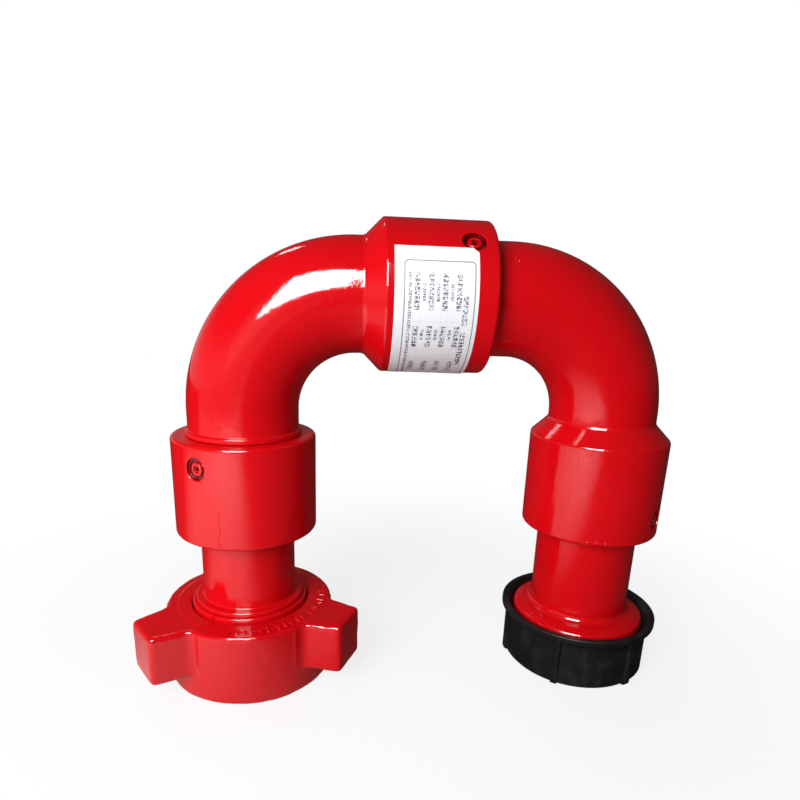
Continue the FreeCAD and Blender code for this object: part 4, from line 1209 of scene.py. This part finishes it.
    def forge(self, piece, nut):
        """Lets the outer skin sink here and there, as a hammered forging's does."""
        outer = piece.vertex_groups.new(name="outer skin")
        wall = nut.relief / 2 + self.skin_depth
        outer.add([corner.index for corner in piece.data.vertices
                   if math.hypot(corner.co.x, corner.co.y) > wall], 1.0, "REPLACE")
        clouds = bpy.data.textures.new("forging_lumps", "CLOUDS")
        clouds.noise_scale = nut.lump_size
        modify(piece, "DISPLACE", texture=clouds, vertex_group=outer.name, strength=nut.lumps,
               mid_level=1.0)

    def marks(self, nut):
        """Blunt raised casting marks round the nut's top."""
        series = zip(cycle(self.mark_lengths), cycle(self.mark_widths), cycle(self.mark_shifts),
                     cycle(self.mark_turns))
        bars = []
        turn = self.marks_from
        while turn < self.marks_to:
            long, wide, shift, step = next(series)
            bars.append(spin_box("mark", (long, wide, self.mark_height),
                                 (self.marks_radius + shift, 0, nut.height - nut.lumps / 2),
                                 turn, self.mark_round))
            turn += math.radians(step)
        piece = joined("casting_marks", bars)
        smooth(piece, degrees=50)
        return piece


class SWIVEL_OT_right_sub(bpy.types.Operator):
    """Makes the right forging with its male end, neck, threaded hub and seat."""
    bl_idname = "swivel.right_sub"
    bl_label = "Right sub"

    def execute(self, context):
        scene = context.scene
        sizes = scene.swivel_sizes
        right = scene.swivel_right_sub
        bore = sizes.flow_bore / 2
        hub = right.thread_root / 2
        neck = right.neck / 2
        tip = RIGHT_MOUTH + sizes.male_length
        tip_radius = sizes.barrel / 2 - sizes.male_chamfer
        path = RingPath("forged_thread_sub", tip, tip_radius, sizes.corners)
        draw_barrel(path, sizes, RIGHT_MOUTH, -1)
        path.through(
            (RIGHT_MOUTH - sizes.shoulder_gap, neck), (right.shoulder_top, neck),
            (right.shoulder_top, neck + right.shoulder_flat), (right.shoulder, right.collar / 2),
            (right.collar_bottom, right.collar / 2), (right.collar_bottom, hub),
            (right.face + right.lead, hub), (right.face, hub - right.lead),
            (right.face, right.seat / 2), (right.seat_end, right.pocket / 2),
            (right.pocket_end, right.pocket / 2), (right.pocket_end, bore), (tip, bore),
            (tip, tip_radius))
        sub = path.close()
        round_rings(sub, Z_AXIS, [
            (right.shoulder, right.collar / 2, right.shoulder_round),
            (right.collar_bottom, right.collar / 2, right.collar_edge)], segments=6)
        round_rings(sub, Z_AXIS, [
            (right.shoulder_top, neck, right.neck_round),
            (right.shoulder_top, neck + right.shoulder_flat, right.slope_round)], segments=8)
        smooth(sub)
        move_to(sub, RIGHT_LEG)
        finish_piece(sub, "right_leg", FINISHES["paint"], ["thread_sub"])
        ridge = thread_ridge("hub_thread_ridge", hub, 1, right.thread_start, right.thread_turns)
        move_to(ridge, RIGHT_LEG)
        finish_piece(ridge, "right_leg", FINISHES["paint"])
        return {"FINISHED"}


class SWIVEL_OT_cap(bpy.types.Operator):
    """Makes the plastic thread protector with its lip and grip ribs."""
    bl_idname = "swivel.cap"
    bl_label = "Thread cap"

    def execute(self, context):
        scene = context.scene
        cap = scene.swivel_cap
        wall = cap.outside / 2
        lip_bottom = cap.height - cap.lip_height
        path = RingPath("protector_cap", 0.0, wall - cap.foot_bevel, scene.swivel_sizes.corners)
        path.fill()
        path.through(
            (cap.foot_bevel, wall), (lip_bottom, wall), (lip_bottom, cap.lip / 2),
            (cap.height, cap.lip / 2), (cap.height, cap.mouth / 2),
            (cap.height - cap.mouth_depth, cap.inside / 2), (cap.floor, cap.inside / 2))
        piece = path.close()
        round_rings(piece, Z_AXIS, [
            (cap.height, cap.lip / 2, cap.lip_round), (lip_bottom, cap.lip / 2, cap.lip_edge),
            (cap.height, cap.mouth / 2, cap.mouth_round), (lip_bottom, wall, cap.lip_fillet)])
        smooth(piece)
        rib = self.rib(cap, wall, lip_bottom)
        turns = [cap.rib_angle + number * math.tau / cap.rib_count
                 for number in range(cap.rib_count)]
        ribs = [placed_copy(rib, "rib", Matrix.Rotation(turn, 4, "Z")) for turn in turns]
        remove(rib)
        piece = joined("protector_cap", [piece, *ribs])
        move_to(piece, RIGHT_LEG)
        finish_piece(piece, "cap", FINISHES["plastic"], ["thread_cap"])
        return {"FINISHED"}

    @staticmethod
    def rib(cap, wall, top):
        """One grip rib on the wall at +X, its foot sloped back to the wall."""
        bottom = cap.rib_start
        reach = wall + cap.rib_proud
        rib = spin_box("rib", (2 * cap.rib_proud, cap.rib_width, top - bottom),
                       (wall, 0, (top + bottom) / 2))
        bevel_edges(rib, [(lambda corner: corner.x > reach - NEAR and corner.z < bottom + NEAR,
                           cap.rib_foot)], segments=1)
        modify(rib, "BEVEL", width=cap.rib_round, segments=3)
        smooth(rib)
        return rib


class SWIVEL_OT_plugs(bpy.types.Operator):
    """Makes the ball plugs, their retaining clips and their grease screws."""
    bl_idname = "swivel.plugs"
    bl_label = "Ball plugs"

    stem_reach = 0.00145    # how far the plug's stem reaches below its seat
    axis_hole = 0.001       # radius of the hole along the axis of a turned piece
    groove_depth = 0.0007   # depth of the clip's groove
    eye_hole = 0.0005       # radius of the hole in a plier eye
    eye_inset = 0.00002     # how much thinner than the clip an eye is, on each side
    eye_corners = 20
    boss_round = 0.0005
    boss_foot_round = 0.0004
    hole_round = 0.0003
    clip_round = 0.00025
    screw_round = 0.0004
    flange_shade_reach = 0.0006   # how far up the boss the painted shade of the recess reaches
    screw_shade_depth = 0.0005    # how deep in the screw's socket that painted shade starts

    def execute(self, context):
        scene = context.scene
        sizes = scene.swivel_sizes
        ports = scene.swivel_ports
        models = {"ball_plugs": self.plug(ports), "plug_circlips": self.clip(ports),
                  "grease_screws": self.screw(ports)}
        elbow_places = elbow_port_places(sizes, ports)
        cups = {
            "left": ("left_leg", left_port_places(sizes, ports)),
            "middle": ("left_bend", [LEFT_ELBOW_PLACE @ place for place in elbow_places]),
            "right": ("right_bend", [RIGHT_ELBOW_PLACE @ place for place in elbow_places])}
        for cup, (body, places) in cups.items():
            for kind, model in models.items():
                name = "%s_shown_%s" % (cup, kind)
                copies = [placed_copy(model, name, place) for place in places]
                piece = joined(name, copies)
                finish_piece(piece, body, FINISHES["forged_paint"],
                             ["%s_%s" % (cup, kind)])
        for model in models.values():
            remove(model)
        return {"FINISHED"}

    def plug(self, ports):
        """A flanged plug with its boss and the hole for its screw, pointing up."""
        flange_bottom = ports.floor + SEAT_GAP
        flange_top = flange_bottom + ports.flange
        flange = ports.counterbore / 2 - FIT_GAP
        stem = ports.hole / 2 - FIT_GAP
        hole = ports.screw / 2 + SEAT_GAP
        stem_end = ports.floor - self.stem_reach
        path = RingPath("plug", stem_end, self.axis_hole, PORT_CORNERS)
        path.through(
            (stem_end, stem), (flange_bottom, stem), (flange_bottom, flange),
            (flange_top, flange), (flange_top, ports.boss / 2), (ports.boss_top, ports.boss / 2),
            (ports.boss_top, hole), (ports.screw_top - ports.screw_length, hole),
            (ports.screw_top - ports.screw_length, self.axis_hole), (stem_end, self.axis_hole))
        plug = path.close()
        round_rings(plug, Z_AXIS, [
            (ports.boss_top, ports.boss / 2, self.boss_round),
            (ports.boss_top, hole, self.hole_round),
            (flange_top, ports.boss / 2, self.boss_foot_round)], segments=3)
        smooth(plug)
        # The flange's top, the boss's foot and the screw's hole take painted shade.
        shade_faces(plug, FINISHES["forged_paint"], FINISHES["recess_paint"],
                    lambda middle: middle.z < flange_top + self.flange_shade_reach
                    or math.hypot(middle.x, middle.y) < hole)
        return plug

    def clip(self, ports):
        """An open ring with two plier eyes, seated over the plug's flange."""
        bottom = ports.floor + ports.flange + 2 * SEAT_GAP
        top = bottom + ports.clip_thickness
        outer = ports.counterbore / 2 + self.groove_depth - SEAT_GAP
        inner = outer - ports.clip_width
        path = RingPath("clip", bottom, inner, PORT_CORNERS)
        path.through((bottom, outer), (top, outer), (top, inner), (bottom, inner))
        ring = path.close()
        round_rings(ring, Z_AXIS, [(top, inner, self.clip_round)], segments=2)
        gap_width = 2 * inner * math.sin(ports.clip_gap / 2)
        gap = spin_box("gap_cutter", (outer * 2, gap_width, CUTTER_HEIGHT), (outer, 0, top))
        cut_away(ring, gap)
        smooth(ring)
        eyes = []
        middle = inner - ports.clip_ear / 4
        ear = ports.clip_ear / 2
        low = bottom + self.eye_inset
        high = top - self.eye_inset
        for turn in (-ports.clip_gap / 2, ports.clip_gap / 2):
            path = RingPath("eye", low, self.eye_hole, self.eye_corners)
            path.through((low, ear), (high, ear), (high, self.eye_hole), (low, self.eye_hole))
            eye = path.close()
            smooth(eye)
            move_to(eye, (middle * math.cos(turn), middle * math.sin(turn), 0))
            eyes.append(eye)
        clip = joined("clip", [ring, *eyes])
        # The whole clip takes painted shade, as it lies down in the recess.
        clip.data.materials.clear()
        clip.data.materials.append(FINISHES["recess_paint"])
        return clip

    def screw(self, ports):
        """A grease screw with a hexagon key socket."""
        bottom = ports.screw_top - ports.screw_length + FIT_GAP
        path = RingPath("screw", bottom, ports.screw / 2, PORT_CORNERS)
        path.fill()
        path.to(ports.screw_top, ports.screw / 2)
        screw = path.close()
        round_rings(screw, Z_AXIS, [(ports.screw_top, ports.screw / 2, self.screw_round)],
                    segments=3)
        key = RingPath("key_cutter", ports.screw_top - ports.socket_depth,
                       ports.socket / math.sqrt(3), 6)
        key.fill()
        key.to(ports.screw_top + CUTTER_REACH)
        cut_away(screw, key.close())
        smooth(screw)
        # The key socket's walls and floor take painted shade.
        shade_faces(screw, FINISHES["forged_paint"], FINISHES["recess_paint"],
                    lambda middle: middle.z < ports.screw_top - self.screw_shade_depth)
        return screw


class SWIVEL_OT_paint_runs(bpy.types.Operator):
    """Makes the run and the beads that the enamel left where it gathered."""
    bl_idname = "swivel.paint_runs"
    bl_label = "Paint runs"

    sunk = 0.15             # share of a bead's height that lies in the wall
    run_foot = 0.0035       # height of the run's foot over the cup's lower edge
    run_out = 0.85          # how far the run's parts stand out, in bead heights
    # share of the run's length, degrees aside of it, length as a share of it, width
    run_parts = (
        (0.5, 0.0, 0.5, 1.3), (0.84, 1.1, 0.14, 0.9), (0.62, -0.8, 0.12, 1.2),
        (0.42, 1.0, 0.1, 1.1), (0.22, -0.7, 0.14, 1.2), (0.04, 0.2, 0.07, 2.0))
    # azimuth in degrees, height over the right cup's mouth, stretch up, round and out
    cup_beads = (
        (-121, 0.0034, (1.3, 1.0, 0.9)), (-112, 0.0031, (0.9, 1.6, 0.8)),
        (-105, 0.0036, (1.5, 1.0, 1.0)), (-97, 0.0031, (0.8, 1.2, 0.7)))
    # place along the arch, degrees from its top, size
    elbow_dots = ((0.1765, 47, 0.8), (0.1785, 50, 0.6), (0.1775, 53, 0.5))
    dot_out = 0.8           # in bead heights, as the next one
    # azimuth in degrees, size
    hub_drops = ((-158, 0.9), (-149, 1.2), (-146, 0.6), (-131, 0.7))
    drop_out = 0.9
    # height and radius of a bead's rings, as shares of its own
    dome = ((0.0, 1.0), (0.35, 0.9), (0.65, 0.7), (0.87, 0.44), (1.0, 0.1))
    dome_corners = 20

    def execute(self, context):
        scene = context.scene
        sizes = scene.swivel_sizes
        runs = scene.swivel_runs
        right = scene.swivel_right_sub
        model = self.bead(runs)
        cup = sizes.cup / 2 - runs.bead_height * self.sunk
        tube = sizes.tube / 2 - runs.bead_height * self.sunk
        foot = LEFT_MOUTH - sizes.cup_length + self.run_foot
        run = [self.on_wall(LEFT_LEG, runs.run_angle + math.radians(aside), foot + up * runs.run,
                            cup, (long * runs.run / runs.bead, wide, self.run_out))
               for up, aside, long, wide in self.run_parts]
        beads = [self.on_wall(RIGHT_LEG, math.radians(degrees), RIGHT_MOUTH + up, cup, stretch)
                 for degrees, up, stretch in self.cup_beads]
        dots = [Matrix.Translation((along, 0, AXIS_HEIGHT))
                @ Matrix.Rotation(math.radians(degrees), 4, "X")
                @ Matrix.Translation((0, 0, tube))
                @ Matrix.Diagonal((size, size, self.dot_out, 1))
                for along, degrees, size in self.elbow_dots]
        slope = (right.collar / 2 + right.neck / 2 + right.shoulder_flat) / 2
        height = (right.shoulder + right.shoulder_top) / 2
        tilt = math.atan2(right.shoulder_top - right.shoulder,
                          right.collar / 2 - right.neck / 2 - right.shoulder_flat)
        drops = [Matrix.Translation(RIGHT_LEG) @ Matrix.Rotation(math.radians(degrees), 4, "Z")
                 @ Matrix.Translation((slope, 0, height)) @ Matrix.Rotation(tilt, 4, "Y")
                 @ Matrix.Diagonal((size, size, self.drop_out, 1))
                 for degrees, size in self.hub_drops]
        for name, body, places in (
                ("left_cup_run", "left_leg", run), ("right_cup_beads", "right_bend", beads),
                ("right_elbow_dots", "right_bend", dots), ("hub_drops", "right_leg", drops)):
            piece = joined(name, [placed_copy(model, name, place) for place in places])
            finish_piece(piece, body, FINISHES["paint"])
        remove(model)
        return {"FINISHED"}

    def bead(self, runs):
        """One low dome of paint, standing along Z."""
        path = RingPath("bead", -runs.bead_height / 2, runs.bead, self.dome_corners)
        path.fill()
        path.through(*[(up * runs.bead_height, out * runs.bead) for up, out in self.dome])
        dome = path.close()
        smooth(dome, degrees=60)
        return dome

    @staticmethod
    def on_wall(leg, azimuth, height, radius, stretch):
        """A place on a cup's wall; the stretch is up, round and out from it."""
        return (Matrix.Translation(leg) @ Matrix.Rotation(azimuth, 4, "Z")
                @ Matrix.Translation((radius, 0, height)) @ Matrix.Rotation(QUARTER_TURN, 4, "Y")
                @ Matrix.Diagonal((*stretch, 1)))


class SWIVEL_OT_label(bpy.types.Operator):
    """Makes the paper label wrapped round the front of the middle cup."""
    bl_idname = "swivel.label"
    bl_label = "Paper label"

    cells_across = 40
    cells_up = 80
    wave = 0.000025         # a quarter of the height of the paper's highest waves
    waves_across = 19       # first set of waves, in radians over the label's width
    waves_slant = 7         # the same, over its height
    waves_up = 31           # second set, in radians over the label's height
    corner_lift = 0.006     # rise of the loose corner, before its two shares
    corner_left = -0.1      # where that corner starts, as a share of the width from the middle
    corner_top = -0.38      # the same, of the height

    def execute(self, context):
        scene = context.scene
        sizes = scene.swivel_sizes
        label = scene.swivel_label
        radius = sizes.cup / 2 + label.glue
        rise = (label.top - label.bottom) * radius
        deselect()
        bpy.ops.mesh.primitive_grid_add(
            x_subdivisions=self.cells_across, y_subdivisions=self.cells_up, size=1,
            calc_uvs=True)
        sheet = context.object
        name_piece(sheet, "printed_label")
        sheet.scale = (label.width, rise, 1)
        settle()
        cutter = spin_box("corner_cutter", (2 * label.clip, 2 * label.clip, CUTTER_HEIGHT),
                          (0, 0, 0), QUARTER_TURN / 2)
        past_corner = label.clip * math.sqrt(0.5) * (1 - math.sqrt(0.5))
        move_to(cutter, (label.width / 2 + past_corner, rise / 2 + past_corner, 0))
        modify(sheet, "SOLIDIFY", thickness=label.thickness, offset=1.0)
        cut_away(sheet, cutter)
        for corner in sheet.data.vertices:
            turn = (label.top + label.bottom) / 2 + corner.co.y / radius
            lift = radius + corner.co.z + self.lift(corner.co.x / label.width, corner.co.y / rise)
            corner.co = (label.left + label.width / 2 + corner.co.x,
                         -lift * math.cos(turn), AXIS_HEIGHT + lift * math.sin(turn))
        smooth(sheet, degrees=40)
        finish_piece(sheet, "left_bend", FINISHES["paper"], ["paper_label"])
        return {"FINISHED"}

    def lift(self, across, up):
        """How far the paper stands off: faint waves, and a lower corner that has let go."""
        slanting = 1 + math.sin(across * self.waves_across + up * self.waves_slant)
        level = 1 + math.sin(up * self.waves_up)
        corner = max(0.0, across - self.corner_left) * max(0.0, self.corner_top - up)
        return self.wave * slanting * level + self.corner_lift * corner


class SWIVEL_OT_stage(bpy.types.Operator):
    """Lays the floor and sets the lamps, the world and the photograph's camera."""
    bl_idname = "swivel.stage"
    bl_label = "Stage"

    floor_side = 16         # in metres
    sensor = 36.0           # width of the camera's sensor in millimetres
    # name, place, target, size, power in watts, tint, and the kind of ray that misses it
    lamps = (
        ("window_gloss", (-0.14, -0.72, 0.75), (0.06, -0.035, 0.285), (0.50, 0.52), 24.0,
         (0.97, 0.98, 1.0), "visible_diffuse"),
        ("window_light", (-0.36, -0.70, 0.5), (0.03, 0, 0.13), (0.45, 0.45), 9.0,
         (1, 1, 1), "visible_glossy"),
        ("far_gloss", (-0.25, 0.61, 0.885), (0.035, -0.016, 0.302), (0.08, 0.15), 0.2,
         (1, 1, 1), "visible_diffuse"))

    def execute(self, context):
        self.floor(context)
        self.world(context)
        for lamp in self.lamps:
            self.lamp(*lamp)
        self.camera(context)
        context.scene.view_settings.view_transform = "Standard"
        return {"FINISHED"}

    @staticmethod
    def mirrored(tree):
        """One for rays that come by way of a mirroring or a clear surface."""
        light_path = add(tree, "LightPath")
        return arithmetic(tree, "ADD", light_path.outputs["Is Glossy Ray"],
                          light_path.outputs["Is Transmission Ray"], clamp=True)

    def floor(self, context):
        """A plane that fades to white, and that the gloss sees bright only on its near left."""
        deselect()
        bpy.ops.mesh.primitive_plane_add(size=self.floor_side, location=(LEG_SPACING / 2, 0, 0))
        floor = context.object
        name_piece(floor, "floor")
        settle()
        material, tree, shader = new_material("Floor")
        tree.nodes.remove(shader)
        stage = context.scene.swivel_stage
        point = add(tree, "TexCoord").outputs["Object"]
        middle = add(tree, "Mapping", {"Vector": point, "Location": (-LEG_SPACING / 2, 0, 0)})
        far = add(tree, "VectorMath", {0: middle.outputs[0]}, operation="LENGTH").outputs["Value"]
        fade = ranged(tree, far, low=0.14, high=0.5, start=0.8, curve="SMOOTHSTEP")
        place = add(tree, "SeparateXYZ", {"Vector": point})
        left = ranged(tree, place.outputs["X"], low=0.13, high=-0.05, curve="SMOOTHSTEP")
        near = ranged(tree, place.outputs["Y"], low=0.1, high=-0.1, curve="SMOOTHSTEP")
        light_path = add(tree, "LightPath")
        share = arithmetic(tree, "MULTIPLY", fade, light_path.outputs["Is Camera Ray"])
        glossy = mixed(tree, arithmetic(tree, "MULTIPLY", left, near), stage.floor_dark,
                       stage.floor_white)
        tint = mixed(tree, light_path.outputs["Is Diffuse Ray"], stage.floor_white,
                     stage.floor_bounce)
        matte = add(tree, "BsdfDiffuse", {"Color": mixed(tree, self.mirrored(tree), tint, glossy)})
        white = add(tree, "Emission", {"Color": (1, 1, 1, 1), "Strength": 1.0})
        mix = add(tree, "MixShader", {0: share, 1: matte.outputs[0], 2: white.outputs[0]})
        tree.links.new(mix.outputs[0], tree.nodes["Material Output"].inputs["Surface"])
        floor.data.materials.append(material)

    def world(self, context):
        """White where the camera looks; round the part a room that is bright on its left side."""
        world = context.scene.world or bpy.data.worlds.new("Studio")
        context.scene.world = world
        world.use_nodes = True
        tree = world.node_tree
        way = add(tree, "SeparateXYZ", {"Vector": add(tree, "TexCoord").outputs["Generated"]})
        stage = context.scene.swivel_stage
        side = ranged(tree, way.outputs["X"], low=0.25, high=-0.65, curve="SMOOTHSTEP")
        low = ranged(tree, way.outputs["Z"], low=0.45, high=0.05, curve="SMOOTHSTEP")
        back = ranged(tree, way.outputs["Y"], low=0.5, high=0.85, curve="SMOOTHSTEP")
        walls = mixed(tree, side, stage.room_right, stage.room_left)
        matte = mixed(tree, back, walls, stage.room_back)
        gloss = mixed(tree, arithmetic(tree, "MULTIPLY", side, low), stage.gloss_dark,
                      stage.gloss_left)
        room = tree.nodes["Background"]
        tree.links.new(mixed(tree, self.mirrored(tree), matte, gloss), room.inputs["Color"])
        seen = add(tree, "LightPath").outputs["Is Camera Ray"]
        white = add(tree, "Background", {"Color": (1, 1, 1, 1), "Strength": 1.0})
        mix = add(tree, "MixShader", {0: seen, 1: room.outputs[0], 2: white.outputs[0]})
        tree.links.new(mix.outputs[0], tree.nodes["World Output"].inputs["Surface"])

    @staticmethod
    def lamp(name, place, target, size, power, tint, missed_by):
        """A soft rectangular lamp that faces a target."""
        deselect()
        bpy.ops.object.light_add(type="AREA", location=place)
        lamp = bpy.context.object
        lamp.name = name
        lamp.data.shape = "RECTANGLE"
        lamp.data.size = size[0]
        lamp.data.size_y = size[1]
        lamp.data.energy = power
        lamp.data.color = tint
        way = Vector(target) - Vector(place)
        lamp.rotation_euler = way.to_track_quat("-Z", "Y").to_euler()
        setattr(lamp, missed_by, False)

    def camera(self, context):
        """The photograph's camera."""
        stage = context.scene.swivel_stage
        deselect()
        bpy.ops.object.camera_add(location=stage.camera_place)
        camera = context.object
        camera.name = "photograph"
        turn = (Matrix.Rotation(-stage.camera_turn, 4, "Z")
                @ Matrix.Rotation(QUARTER_TURN - stage.camera_dip, 4, "X")
                @ Matrix.Rotation(stage.camera_roll, 4, "Z"))
        camera.matrix_world = Matrix.Translation(stage.camera_place) @ turn
        camera.data.sensor_width = self.sensor
        camera.data.lens = self.sensor * stage.focal
        camera.data.shift_x = stage.shift_x
        camera.data.shift_y = stage.shift_y
        context.scene.camera = camera


PIECES = (
    SWIVEL_OT_finishes, SWIVEL_OT_elbows, SWIVEL_OT_left_sub, SWIVEL_OT_segments, SWIVEL_OT_nut,
    SWIVEL_OT_right_sub, SWIVEL_OT_cap, SWIVEL_OT_plugs, SWIVEL_OT_paint_runs, SWIVEL_OT_label,
    SWIVEL_OT_stage,
)


class SWIVEL_PT_panel(bpy.types.Panel):
    """Lists the pieces of the swivel joint and their settings."""
    bl_label = "Swivel Joint"
    bl_idname = "SWIVEL_PT_panel"
    bl_space_type = "VIEW_3D"
    bl_region_type = "UI"
    bl_category = "Swivel Joint"

    def draw(self, context):
        layout = self.layout
        for piece in PIECES:
            layout.operator(piece.bl_idname)
        for setting in SETTINGS:
            group = getattr(context.scene, setting)
            box = layout.box()
            for name in group.bl_rna.properties.keys():
                if name not in {"rna_type", "name"}:
                    box.prop(group, name)


CLASSES = (*SETTINGS.values(), *PIECES, SWIVEL_PT_panel)


def register():
    for one in CLASSES:
        bpy.utils.register_class(one)
    for setting, group in SETTINGS.items():
        setattr(bpy.types.Scene, setting, PointerProperty(type=group))


def unregister():
    for setting in SETTINGS:
        delattr(bpy.types.Scene, setting)
    for one in reversed(CLASSES):
        bpy.utils.unregister_class(one)


def main():
    """Builds every piece in order."""
    register()
    for piece in PIECES:
        family, action = piece.bl_idname.split(".")
        getattr(getattr(bpy.ops, family), action)()
    deselect()


if __name__ == "__main__":
    main()
